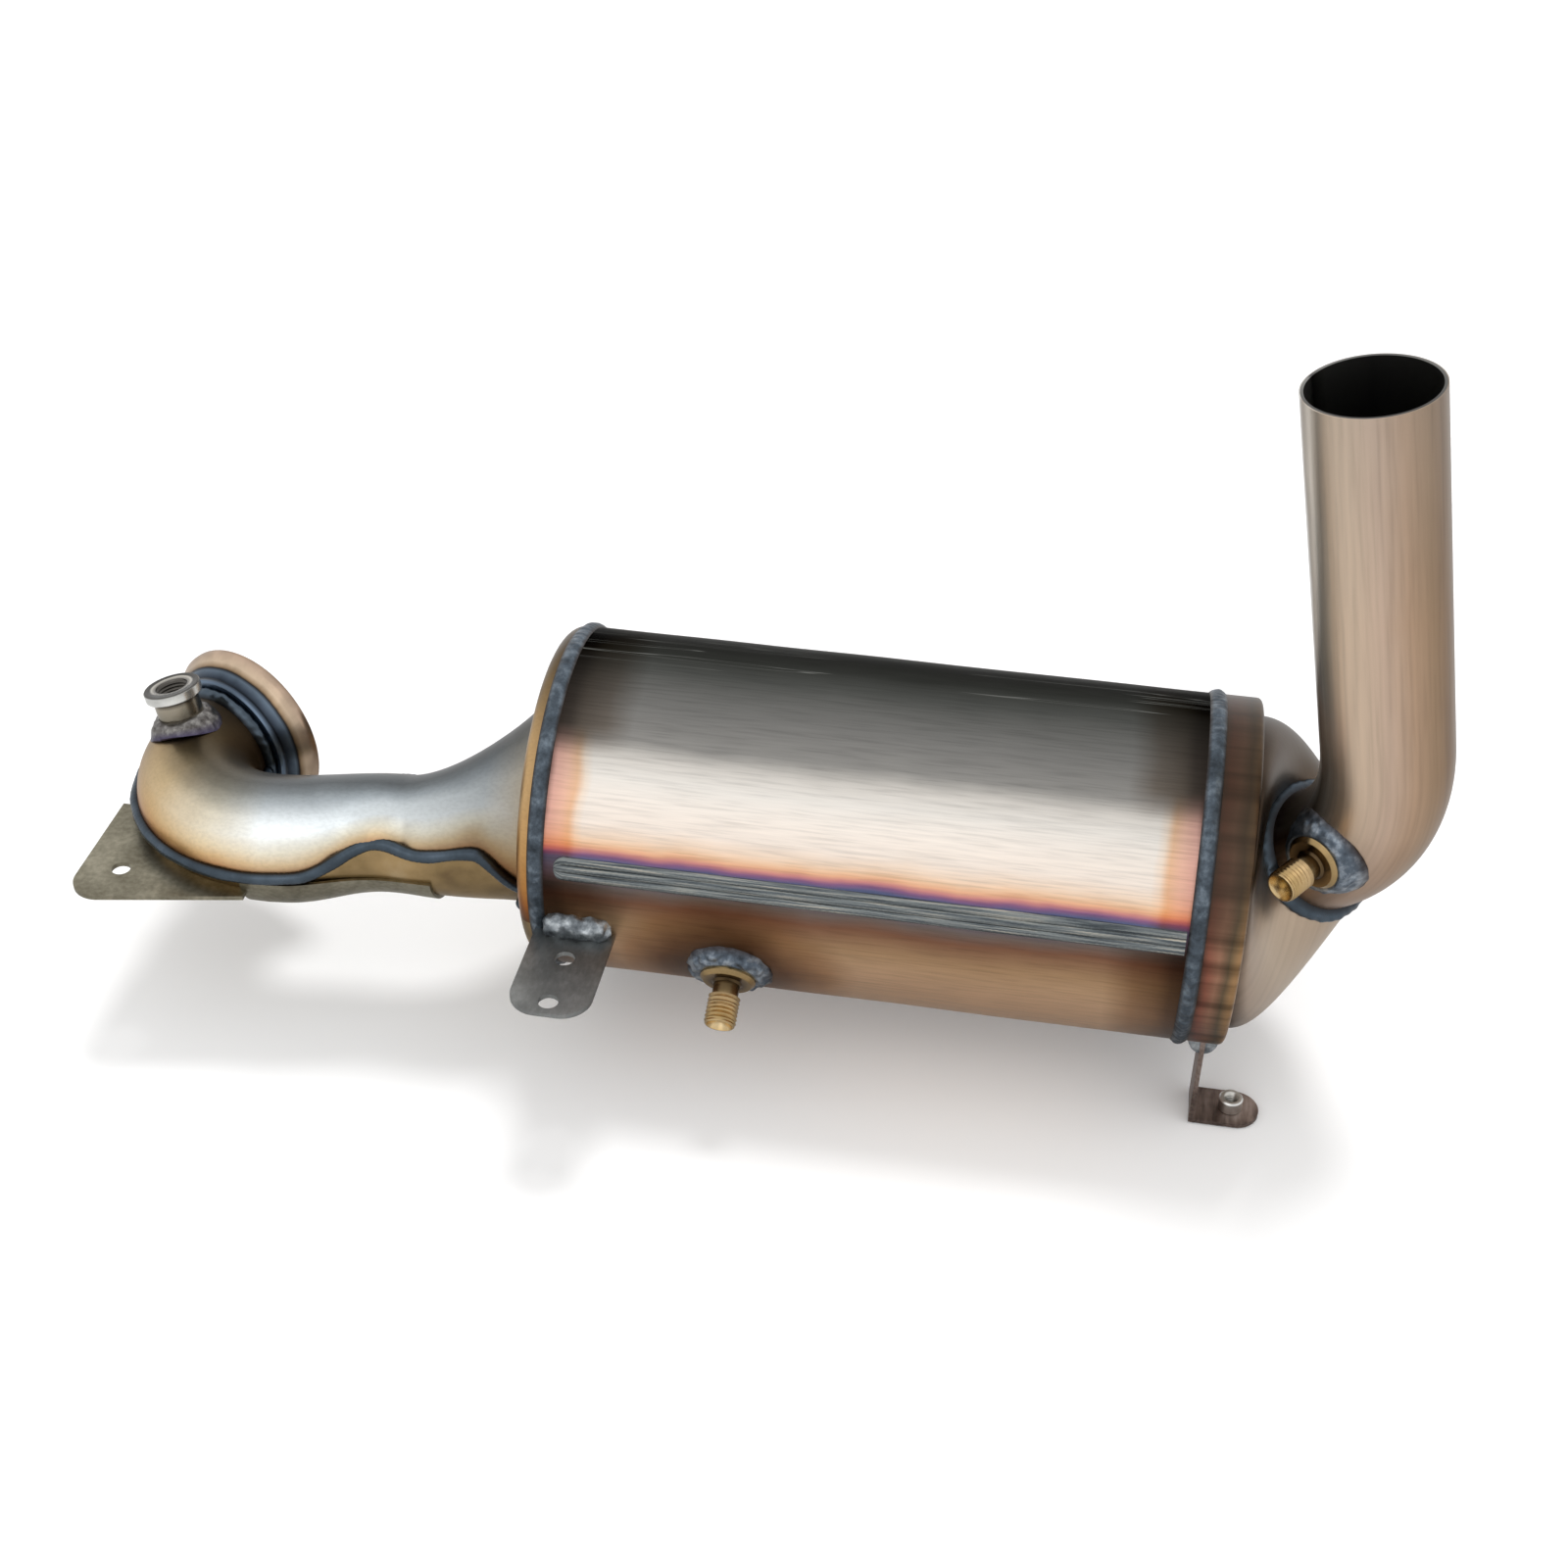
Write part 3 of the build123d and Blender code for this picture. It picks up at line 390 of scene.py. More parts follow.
def seam_ridges():
    """The seam's grid and its rows' X. Across each row the height is the tops of three equal circles,
    and it rises and sinks a little by a sine wave along the seam. The rows narrow by a quarter of an
    ellipse at the inlet's end, and the grid closes just under the can's skin."""
    half_width, ridge_r, ridge_sunk, ripple, root = 5.3, 2.2, 0.9, 2.6, 0.6
    end_from, end_length = 5, 5.2
    rows = np.linspace(SEAM_HALF + 3.6, -SEAM_HALF, 430)
    into_end = np.maximum(end_from - SEAM_HALF - rows, 0) / end_length
    narrow = np.sqrt(np.clip(1 - into_end ** 2, 0.02, 1))[:, None]
    offset = narrow * np.linspace(-half_width, half_width, len(SEAM_OVER))
    from_ridge = np.abs(offset - np.clip(np.round(offset / SEAM_PITCH), -1, 1) * SEAM_PITCH)
    ridge = np.sqrt(np.maximum(ridge_r ** 2 - from_ridge ** 2, 0)) - ridge_sunk
    wave = np.sin(2 * math.pi * (rows[:, None] + 0.5 * from_ridge) / ripple)
    ridge *= narrow * (0.92 + 0.08 * wave)
    spine = on_axis(rows)[:, None]
    top = tube_grid(on_axis(rows), np.ones(len(rows)), SIDE[None], SEAM_TURN + offset / CAN_R)
    top = spine + (top - spine) * (CAN_R + ridge)[..., None]
    under = spine + (top[:, ::-1] - spine) * ((CAN_R - root) / (CAN_R + ridge[:, ::-1]))[..., None]
    return np.concatenate((top, under[:, ::8]), 1), rows


seam, seam_rows = seam_ridges()
over = np.concatenate((SEAM_OVER, SEAM_OVER[::-8], SEAM_OVER[:1]))
can_seam = skin("can_seam_ridges", seam, spots(seam_rows, over)[..., ::-1], rolled_weld(), ends=True)
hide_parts("can_seam_weld")


# The ring welds at the can's two ends: single-pass arc beads with fine ripples, grey-blue and speckled,
# that join the can to the inlet pressings and to the outlet cap.
ring_metal = weld_metal(
    "ring_weld_steel", "3a4046", "515a63", "77828c", rim="3b322c", grain_mm=3.0, depth=0.0002)


def round_axis(axis):
    """Two unit vectors square to an axis, the first as near to upwards as it can be."""
    axis = np.array(axis, float) / np.linalg.norm(axis)
    first = UP - axis * axis[2]
    first /= np.linalg.norm(first)
    return axis, first, np.cross(axis, first)


def turned_grid(profile, centre, axis, segments):
    """A profile of radius and height pairs carried round an axis through the centre."""
    axis, first, second = round_axis(axis)
    turns = np.linspace(0, 2 * math.pi, segments, endpoint=False)
    arm = np.cos(turns)[:, None] * first + np.sin(turns)[:, None] * second
    profile = np.asarray(profile, float)
    return np.asarray(centre) + profile[:, 0, None, None] * arm + profile[:, 1, None, None] * axis


def bead_ring(name, node, centre, axis, radius, width, height, material, seed, pitch=3.6):
    """A weld bead round an axis: an arch by the power 0.8 of a sine, less sine ripples that lag by the
    square of the way from its middle, less an unevenness, closed below the surface."""
    step, root, inset, lag = 0.9, 0.8, 0.4, 2.2
    over = np.linspace(0, 1, 15)
    bead = slice(0, len(over))
    arch = np.sin(math.pi * over) ** 0.8
    profile = np.stack((radius + height * arch, (over - 0.5) * width), 1)
    foot = ((radius - root, width / 2 - inset), (radius - root, inset - width / 2))
    segments = int(2 * math.pi * radius / step)
    points = turned_grid(np.concatenate((profile, foot)), centre, axis, segments)
    arc = np.arange(segments) / segments * 2 * math.pi * radius
    lean = lag * (2 * over[:, None] - 1) ** 2
    pitch = 2 * math.pi * radius / round(2 * math.pi * radius / pitch)
    ripple = 0.5 + 0.5 * np.sin(2 * math.pi * (arc + lean) / pitch)
    sink = 0.3 * ripple + 0.24 * (1 + uneven(points[bead], 9, seed))
    points[bead] -= normals(points, True)[bead] * (sink * arch[:, None])[..., None]
    spot = spots(np.concatenate((over, (1, 0, 0))), np.linspace(0, 1, segments + 1))
    piece = skin(name, points, spot, material, loop_along=True)
    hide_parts(node)


for end, x, seed in (("inlet", -HALF, 5), ("outlet", HALF, 6)):
    bead_ring(end + "_ring_bead", end + "_girth_weld", (x, 0, 0), (1, 0, 0), CAN_R,
              width=6.8, height=2.0, material=ring_metal, seed=seed)


# The inlet cap and elbow: two pressings of 1.5 mm stainless that meet on a wavy line, from the rounded
# shoulder at the can over a flare and a throat to the bend that carries the flange.
SHOULDER = 9.0
CORNER = 6.5
FLARE = 60.0
THROAT_R = 24.3
ELBOW_R = 26.25
FORWARD = 40.0
DROP = 10.5
BEND_X = -HALF - 126.5
BEND_R = 42.5
BEND_TURN = math.radians(112)
BEND_CENTRE = np.array((BEND_X, -FORWARD + BEND_R, -DROP))
FLANGE_AXIS = np.array((-math.cos(BEND_TURN), math.sin(BEND_TURN), 0))
BEND_END = BEND_CENTRE + BEND_R * np.array((-math.sin(BEND_TURN), -math.cos(BEND_TURN), 0))
ELBOW_END = BEND_END + 6 * FLANGE_AXIS


def inlet_rings():
    """Centres, radii and sides of the rings down the inlet. The shoulder's corner is a quarter circle,
    the end wall a flat ring, the flare shrinks with the power 1.5 of what is left of it and its foot
    with the power 12, the throat eases into the bend, and the bend is an arc with a straight tail."""
    wall_x, wall_r = -HALF - SHOULDER, 50.4
    flare_rise, foot_rise, flare_lean, first = 21.7, 7, 0.75, 0.025
    quarter = np.linspace(0, math.pi / 2, 10)
    x = np.concatenate(((-HALF, -HALF - 1.2), wall_x + CORNER - CORNER * np.sin(quarter)))
    r = np.concatenate(((CAN_R, CAN_R), CAN_R - CORNER + CORNER * np.cos(quarter)))
    wall = np.linspace(CAN_R - CORNER, wall_r, 7)[1:-1]
    x = np.concatenate((x, np.full(len(wall), wall_x)))
    r = np.concatenate((r, wall))
    lean = np.zeros(len(x))
    share = np.linspace(first, 1, 56) ** 1.25
    share = first + (share - share[0]) / (1 - share[0]) * (1 - first)
    left = 1 - share
    x = np.concatenate((x, wall_x + WALL - share * FLARE))
    r = np.concatenate((r, THROAT_R + flare_rise * left ** 1.5 + foot_rise * left ** 12))
    lean = np.concatenate((lean, flare_lean * (1 - left ** 1.7)))
    run = np.linspace(0, 1, 44)[1:]
    ease = run * run * (3 - 2 * run)
    start = wall_x + WALL - FLARE
    x = np.concatenate((x, start + (BEND_X + 0.5 - start) * run))
    r = np.concatenate((r, THROAT_R + (ELBOW_R - THROAT_R) * ease))
    lean = np.concatenate((lean, flare_lean + (1 - flare_lean) * ease))
    straight = np.stack((x, -FORWARD * lean, -DROP * lean), 1)
    turn = np.linspace(0, BEND_TURN, 66)
    arc = BEND_CENTRE + BEND_R * np.stack((-np.sin(turn), -np.cos(turn), turn * 0), 1)
    tail = arc[-1] + FLANGE_AXIS * np.array((2.0, 4.0, 5.9))[:, None]
    sides = np.stack((-np.sin(turn), -np.cos(turn), turn * 0), 1)
    centres = np.concatenate((straight, arc, tail))
    sides = np.concatenate((np.tile(SIDE, (len(x), 1)), sides, np.tile(sides[-1], (len(tail), 1))))
    radii = np.append(r, np.full(len(arc) + len(tail), ELBOW_R))
    return centres, radii, sides


def parting_height(x):
    """The height of the line where the halves meet: eased from mark to mark by half cosine waves."""
    marks_at = np.array((12.0, 32.0, 54.0, 71.0, 107.0))
    marks = np.array((-15.0, 2.2, -0.6, 2.2, -12.3))
    at = np.clip(-HALF - x, marks_at[0], marks_at[-1])
    before = np.clip(np.searchsorted(marks_at, at) - 1, 0, 3)
    share = (at - marks_at[before]) / (marks_at[before + 1] - marks_at[before])
    return marks[before] + (marks[before + 1] - marks[before]) * (1 - np.cos(math.pi * share)) / 2


inlet_centres, inlet_radii, inlet_sides = inlet_rings()
parting = np.arcsin((parting_height(inlet_centres[:, 0]) - inlet_centres[:, 2]) / inlet_radii)
steps = np.diff(inlet_centres, axis=0, prepend=inlet_centres[:1])
inlet_run = np.cumsum(np.hypot(np.linalg.norm(steps, axis=1), np.diff(inlet_radii, prepend=CAN_R)))

# Bare pressed stainless: satin, silvery blue with straw and brown where the welds heated it, with a painted
# highlight band and a painted dark reflection over the top.
pressed, tree = fresh("pressed_stainless_upper")
spot_run, spot_turn = spot_numbers(tree)[:2]
place = add(tree, "TexCoord")["Object"]
clouds = add(tree, "TexNoise", {"Vector": place, "Scale": 32.0, "Detail": 4.0})[0]
scuffs, marks = brushed(tree, place, (0.6, 1.0, 1.0), 1.2, 0.00001)
run = add(tree, "Math", {0: clouds, 1: 0.05, 2: spot_run}, operation="MULTIPLY_ADD")[0]
run_colour = add(tree, "ValToRGB", {0: run}, stops=(
    (0.0, "8a6c4c"), (0.05, "c8a474"), (0.11, "c0a27c"), (0.16, "aaa08f"), (0.26, "a6aaab"), (0.38, "d0d5d6"),
    (0.5, "e2e8ea"), (0.64, "f2f6f6"), (0.72, "ece2cc"), (0.8, "cfb68e"), (0.88, "a98d62"), (0.95, "7a664c"),
    (1.0, "5a4c3e")))[0]
edge = add(tree, "Math", {0: clouds, 1: 0.1, 2: spot_turn}, operation="MULTIPLY_ADD")[0]
# Colour by turn up from the parting line. Straw and brown by the weld are heat tint. The white band from 0.19
# to 0.36 is a painted highlight, and the grey from 0.5 to 0.7 over the top is a painted dark reflection.
heat_edge_and_painted_light = add(tree, "ValToRGB", {0: edge}, stops=(
    (0.045, "7b5c46"), (0.08, "d09a68"), (0.13, "f0cfa2"), (0.19, "fff2dc"), (0.27, "ffffff"),
    (0.36, "f2f4f6"), (0.43, "bcc0c4"), (0.5, "84888b"), (0.57, "5f6163"), (0.7, "6e6f70"),
    (1.0, "8c7d70")))[0]
colour = add(tree, "MixRGB", {0: 0.95, 1: run_colour, 2: heat_edge_and_painted_light}, blend_type="MULTIPLY")[0]
shade = add(tree, "ValToRGB", {0: scuffs}, stops=((0.32, "ececec"), (0.6, "ffffff")))[0]
colour = add(tree, "MixRGB", {0: 0.6, 1: colour, 2: shade}, blend_type="MULTIPLY")[0]
satin = add(tree, "MapRange", {0: clouds, 1: 0.3, 2: 0.7, 3: 0.28, 4: 0.42})[0]
bare_metal(tree, colour, satin, marks)

# The lower pressing is the same sheet, browner from end to end.
browned, tree = fresh("pressed_stainless_lower")
place = add(tree, "TexCoord")["Object"]
clouds = add(tree, "TexNoise", {"Vector": place, "Scale": 40.0, "Detail": 5.0})[0]
marks = brushed(tree, place, (0.35, 1.0, 1.0), 2.4, 0.00005)[1]
colour = add(tree, "ValToRGB", {0: clouds}, stops=(
    (0.3, "6a5740"), (0.48, "8f7955"), (0.62, "a98f66"), (0.8, "bda783")))[0]
bare_metal(tree, colour, 0.38, marks)


# A pressed swell with a crease on each side: how far each is from the can, the turn that it is at, how
# wide it is both ways, and its height in millimetres.
SWELLS = ((74, 0.35, 8, 0.5, 2.6), (62.5, 0.3, 3, 0.45, -1.5), (88, 0.3, 5, 0.5, -0.9))


def pressing(name, node, start, end, material):
    """One half of the inlet: the rings' stretch between two turns, with its wall closed by the same grid
    moved inwards along its normals. The swell and the creases are bell curves of place and turn."""
    share = np.linspace(0, 1, 91)
    turns = start[:, None] + (end - start)[:, None] * share
    outside = tube_grid(inlet_centres, inlet_radii, inlet_sides, turns)
    facing = normals(outside, False, False)
    x = outside[..., 0] + HALF
    lift = 0
    for at, at_turn, wide, wide_turn, height in SWELLS:
        lift = lift + height * np.exp(-((x + at) / wide) ** 2 - ((turns - at_turn) / wide_turn) ** 2)
    outside = outside + facing * lift[..., None]
    inside = (outside - facing * WALL)[:, ::-1]
    points = np.concatenate((outside, inside), 1)
    around = np.concatenate((share, share[::-1], share[:1]))
    piece = skin(name, points, spots(inlet_run / inlet_run[-1], around), material, ends=True)
    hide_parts(node)


pressing("inlet_upper_pressing", "inlet_upper_half", parting, math.pi - parting, pressed)
pressing("inlet_lower_pressing", "inlet_lower_half", math.pi - parting, 2 * math.pi + parting, browned)


# The two seam welds of the inlet: smooth wire-fed beads along the line where the halves meet, one on the
# viewer's side and one behind, dark blue-grey with a brown edge.
bead_metal = weld_metal(
    "seam_bead_steel", "3c434b", "465059", "525d68", rim="2c2a2a", grain_mm=7.0, depth=0.00003,
    rough=(0.36, 0.26))


def lengths(points):
    """How long a line of points has run when it comes to each."""
    return np.append(0, np.cumsum(np.linalg.norm(np.diff(points, axis=0), axis=1)))


def sampled(at, run, parts):
    """Each part's rows at the given lengths of a run, straight between its own rows."""
    return [np.stack([np.interp(at, run, part[:, k]) for k in range(3)], -1) for part in parts]


def seam_bead(name, node, turns, seed):
    """A bead along the parting line, from the end wall to the flange: a half-round profile on the surface
    with slow changes in size, closed below the surface."""
    half_width, height, root, step = 2.8, 3.4, 0.9, 0.9
    line = tube_grid(inlet_centres, inlet_radii, inlet_sides, turns[:, None])[:, 0]
    low = tube_grid(inlet_centres, inlet_radii, inlet_sides, turns[:, None] - 0.02)[:, 0]
    ahead = np.gradient(line, axis=0)
    out = np.cross(line - low, ahead)
    out *= np.sign((out * (line - inlet_centres)).sum(1) - 1e-6 * out[:, 0])[:, None]
    keep = slice(12, len(line) - 5)
    line, ahead, out = line[keep], ahead[keep], out[keep]
    run = lengths(line)
    fine = np.arange(0, run[-1], step)
    line, out, ahead = sampled(fine, run, (line, out, ahead))
    out /= np.linalg.norm(out, axis=1, keepdims=True)
    ahead /= np.linalg.norm(ahead, axis=1, keepdims=True)
    side = np.cross(out, ahead)
    over = np.linspace(0, 1, 15)
    size = 1 + 0.06 * uneven(line, 14, seed)
    size *= 0.94 + 0.06 * np.sin(2 * math.pi * fine / 4.4) ** 2
    size *= np.clip(np.minimum(fine, fine[-1] - fine) / 3 + 0.35, 0, 1) ** 0.5
    wide = np.cos(math.pi * over) * -half_width
    high = np.sin(math.pi * over) ** 0.85 * height
    points = line[:, None] + size[:, None, None] * (
        side[:, None] * wide[:, None] + out[:, None] * high[:, None])
    foot = line[:, None] - out[:, None] * root + side[:, None] * np.array((2.3, -2.3))[:, None]
    points = np.concatenate((points, foot), 1)
    spot = spots(fine, np.concatenate((over, (1, 0, 0))))[..., ::-1]
    piece = skin(name, points, spot, bead_metal, ends=True)
    if (normals(points) * (points - line[:, None])).sum() < 0:
        piece.data.flip_normals()
    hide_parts(node)


seam_bead("inlet_front_bead", "inlet_seam_weld", parting, 11)
seam_bead("inlet_back_bead", "inlet_back_seam_weld", math.pi - parting, 12)


# The inlet flange: a V-band ring turned from stainless bar, its cone for the clamp, with a bead that
# joins its hub to the elbow. Tan where it is bare; the blue-black in its groove is painted shade, and the
# pale blue on its chamfer a painted highlight.
FLANGE_SEAT = ELBOW_END - 5.0 * FLANGE_AXIS


def turned_steel(name, stops, roughness=0.3):
    """Steel as a lathe leaves it: fine grooves round the axis, coloured along the profile by the spot
    map's first number. The grooves are drawn about 0.8 mm apart, coarser than real ones, to show."""
    profile_mm, groove_mm = 60, 0.8
    material, tree = fresh(name)
    over, around = spot_numbers(tree)[:2]
    place = add(tree, "TexCoord")["Object"]
    clouds = add(tree, "TexNoise", {"Vector": place, "Scale": 90.0, "Detail": 4.0})[0]
    moved = add(tree, "Math", {0: clouds, 1: 0.02, 2: over}, operation="MULTIPLY_ADD")[0]
    moved = add(tree, "Math", {0: moved, 1: 0.01}, operation="SUBTRACT")[0]
    colour = add(tree, "ValToRGB", {0: moved}, stops=stops)[0]
    shade = add(tree, "ValToRGB", {0: clouds}, stops=((0.35, "c4c4c4"), (0.6, "ffffff")))[0]
    colour = add(tree, "MixRGB", {0: 0.6, 1: colour, 2: shade}, blend_type="MULTIPLY")[0]
    line = add(tree, "CombineXYZ", {0: over, 1: 0.0, 2: 0.0})[0]
    grooves = add(tree, "TexNoise", {"Vector": line, "Scale": profile_mm / groove_mm, "Detail": 3.0})[0]
    bump = add(tree, "Bump", {"Height": grooves, "Distance": 0.00004, "Strength": 0.7})[0]
    bare_metal(tree, colour, roughness, bump)
    return material


def turned_piece(name, node, profile, centre, axis, material, segments=96):
    """A closed profile turned round an axis; the spot map runs from 0 to 1 along the profile's length."""
    profile = np.asarray(profile, float)
    points = turned_grid(profile, centre, axis, segments)
    run = lengths(np.concatenate((profile, profile[:1])))
    spot = spots(run / run[-1], np.linspace(0, 1, segments + 1))
    piece = skin(name, points, spot, material, loop_along=True)
    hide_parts(node)


# Along the profile: the pale blue at 0.1 on the chamfer is a painted highlight, and the near-black at 0.14 in
# the groove is painted shade.
flange_steel = turned_steel("turned_flange_steel", (
    (0.0, "3a424c"), (0.1, "6d7d90"), (0.14, "1c2026"), (0.18, "434c58"), (0.22, "5f6c7a"),
    (0.245, "25211f"), (0.262, "9a8268"), (0.3, "cdb79e"), (0.38, "c2a994"), (0.44, "8a6f5c"),
    (0.455, "2b2320"), (0.5, "8d8578"), (1.0, "3a3a3c")))
turned_piece("flange_ring", "inlet_flange", (
    (26.4, 0), (31.2, 0), (32, 0.8), (32, 3.2), (33.5, 5), (38.6, 11.6), (39.6, 13.0), (39.6, 15.0),
    (39, 15.6), (33.5, 15.6), (33.2, 15.1), (28.5, 15.1), (28.2, 15.6), (25.3, 15.6), (24.75, 15.0),
    (24.75, 5.2), (26.3, 5.0)),
    FLANGE_SEAT, FLANGE_AXIS, flange_steel, 144)
bead_ring("flange_bead", "inlet_flange_weld", FLANGE_SEAT - 1.6 * FLANGE_AXIS, FLANGE_AXIS, ELBOW_R,
          width=6.4, height=3.4, material=bead_metal, seed=8, pitch=4.6)


# The sensor boss: a turned stainless bush with a plated collar and an open thread, welded on top of the
# elbow by a grainy ring of weld.
BOSS_TURN = math.radians(83)
BOSS_FOOT = BEND_CENTRE + BEND_R * np.array((-math.sin(BOSS_TURN), -math.cos(BOSS_TURN), 0))
BOSS_AXIS = round_axis((-0.24, 0.10, 1.0))[0]


def threaded(start, end, crest, root, pitch):
    """Heights and radii of a thread seen as a wave: rings from the start to the end, eight to a pitch."""
    heights = np.linspace(start, end, int(abs(end - start) / pitch * 8))
    wave = np.abs(((heights - start) / pitch) % 1 * 2 - 1)
    return np.stack((root + (crest - root) * wave, heights), 1).tolist()


# Along the profile: the dark stops from 0.272 to 0.305 are painted shade under the plated collar, and the
# dark top face from 0.396 to 0.44 is a painted dark reflection.
boss_steel = turned_steel("plated_boss_steel", (
    (0.0, "5e584c"), (0.15, "857e70"), (0.24, "a09888"), (0.272, "4a443e"), (0.305, "3c3733"),
    (0.318, "e6e6e2"), (0.385, "dcdcd8"), (0.396, "4a4743"), (0.44, "3f3d3a"), (0.455, "c8c4bb"),
    (0.475, "8a8680"), (0.5, "55524e"), (1.0, "77736c")), 0.26)
turned_piece("boss_bush", "sensor_boss", [
    (9.7, 22), (9.7, 38.2), (10.1, 38.7), (11.8, 38.7), (12.25, 39.2), (12.25, 42.7), (11.8, 43.2),
    (8.6, 43.2), (8.2, 42.9), (7.0, 42.9)] + threaded(42.2, 24, 6.9, 6.2, 1.5) + [(6.2, 22)],
    BOSS_FOOT, BOSS_AXIS, boss_steel)


def weld_mound(name, node, foot, axis, carrier, carrier_r, base_r, top_r, hole_r, height, material,
               seed, rough):
    """A mound of weld round a boss: a slope from the base to the top by a quarter of a sine, whose rim
    wobbles and follows the round surface that carries it, so far below the flat as a circle falls
    away, plus lumps."""
    step, rim_inset = 0.9, 0.5
    axis, first, second = round_axis(axis)
    segments = int(2 * math.pi * base_r / step)
    turns = np.linspace(0, 2 * math.pi, segments, endpoint=False)
    arm = np.cos(turns)[:, None] * first + np.sin(turns)[:, None] * second
    carrier = np.asarray(carrier, float)
    carrier = carrier - axis * (carrier @ axis)
    carrier /= np.linalg.norm(carrier)
    off_line = np.linalg.norm(arm - (arm @ carrier)[:, None] * carrier, axis=1)

    def fall(radius):
        return carrier_r - np.sqrt(np.maximum(carrier_r ** 2 - (radius * off_line) ** 2, 0))

    up = np.linspace(0, 1, 19)
    radius = base_r + (top_r - base_r) * up
    wobble = (0, 0.9, -0.7, 0.5, -0.9, 0.8, -0.3, 0.6, 0)
    wobble = 1 + 0.05 * np.interp(turns, np.linspace(0, 2 * math.pi, len(wobble)), wobble)
    rise = (height + 0.3) * np.sin(up * math.pi / 2) ** 0.9 - 0.3
    points = []
    for r, z, u in zip(radius, rise, up):
        reach = r * (1 + (wobble - 1) * (1 - u))
        points.append(reach[:, None] * arm + (z - fall(reach) * (1 - u) ** 0.8)[:, None] * axis)
    points = np.array(points) + np.asarray(foot)
    lumps = uneven(points, 5.0, seed) * rough * (np.sin(up * math.pi) ** 0.5 + 0.25)[:, None]
    points += normals(points) * (lumps - 0.2 * rough)[..., None]
    inner = hole_r * arm + (height - 0.2) * axis + np.asarray(foot)
    low = hole_r * arm - (fall(hole_r) + 1.0)[:, None] * axis + np.asarray(foot)
    skirt_r = base_r - rim_inset
    skirt = skirt_r * arm - (fall(skirt_r) + 1.2)[:, None] * axis + np.asarray(foot)
    points = np.concatenate((points, inner[None], low[None], skirt[None]))
    spot = spots(np.concatenate((up * 0.5, (0.5, 0.5, 0, 0))), np.linspace(0, 1, segments + 1))
    piece = skin(name, points, spot, material, loop_along=True)
    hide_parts(node)


boss_metal = weld_metal(
    "boss_weld_steel", "56524f", "74716f", "9a9894", rim="4b4560", grain_mm=1.2, depth=0.0003)
weld_mound("boss_weld_mound", "sensor_boss_weld", BOSS_FOOT + BOSS_AXIS * ELBOW_R, BOSS_AXIS,
           (-math.cos(BOSS_TURN), math.sin(BOSS_TURN), 0), ELBOW_R,
           base_r=15.6, top_r=10.8, hole_r=9.6, height=3.8, material=boss_metal, seed=21, rough=0.3)


# The outlet cap: a pressed stainless cone from the can's collar to the pipe's neck, off the can's axis.
# Copper and olive stains lie on its collar, tan-grey satin on the cone.
COLLAR = 18.0
NECK = np.array((HALF + 45.6, -2.1, 16.7))
PIPE_CORNER = np.array((HALF + 69.5, -23.2, 47.2))
NECK_AXIS = (PIPE_CORNER - NECK) / np.linalg.norm(PIPE_CORNER - NECK)
PIPE_R = 25.0
CAP_SEGMENTS = 180
CAP_EDGE_R = 2


def cone_rings():
    """The cone as cubic Bezier curves, one for each turn round it: they leave the collar straight
    ahead, and come into the neck's ring from where they last ran straight."""
    collar_inset, neck_gap, ahead, back = 7.1, 1.6, 0.83, 0.03
    collar = turned_grid([(CAN_R - collar_inset, 0)], (HALF + COLLAR, 0, 0), (1, 0, 0), CAP_SEGMENTS)[0]
    neck = turned_grid([(PIPE_R + neck_gap, 0)], NECK, NECK_AXIS, CAP_SEGMENTS)[0]
    full = np.stack((neck[:, 0], collar[:, 1], collar[:, 2]), 1)
    second = collar + (full - collar) * ahead
    third = neck + (full - neck) * back
    t = np.linspace(0, 1, 70)[:, None, None]
    left = 1 - t
    return left ** 3 * collar + 3 * t * left ** 2 * second + 3 * t * t * left * third + t ** 3 * neck


# The collar with its rounded edge, then the cone; the wall is the same grid moved in along its normals.
edge = [math.radians(degrees) for degrees in range(0, 91, 18)]
lip = [(CAN_R, -COLLAR + step) for step in (0.0, 4.0, 8.0, 12.0, 15.0)]
lip += [(CAN_R - CAP_EDGE_R + CAP_EDGE_R * math.cos(a), CAP_EDGE_R * math.sin(a) - CAP_EDGE_R) for a in edge]
lip += [(CAN_R - 4.5, 0), (CAN_R - 6.3, 0)]
lip = turned_grid(lip, (HALF + COLLAR, 0, 0), (1, 0, 0), CAP_SEGMENTS)
outside = np.concatenate((lip, cone_rings()))
inside = (outside - normals(outside) * WALL)[::-1]
cap = np.concatenate((outside, inside))
cap_run = lengths(outside[:, CAP_SEGMENTS // 4])
cap_run = np.concatenate((cap_run, cap_run[::-1], (0,)))

# Pressed stainless again: dribbled stains round the collar, even satin on the cone, a painted dark reflection
# on top, and painted shade where the collar turns in.
capped, tree = fresh("pressed_stainless_cap")
spot_run, spot_turn = spot_numbers(tree)[:2]
place = add(tree, "TexCoord")["Object"]
clouds = add(tree, "TexNoise", {"Vector": place, "Scale": 45.0, "Detail": 5.0})[0]
run = add(tree, "Math", {0: clouds, 1: 5.0, 2: spot_run}, operation="MULTIPLY_ADD")[0]
run = add(tree, "Math", {0: run, 1: 100.0}, operation="DIVIDE")[0]
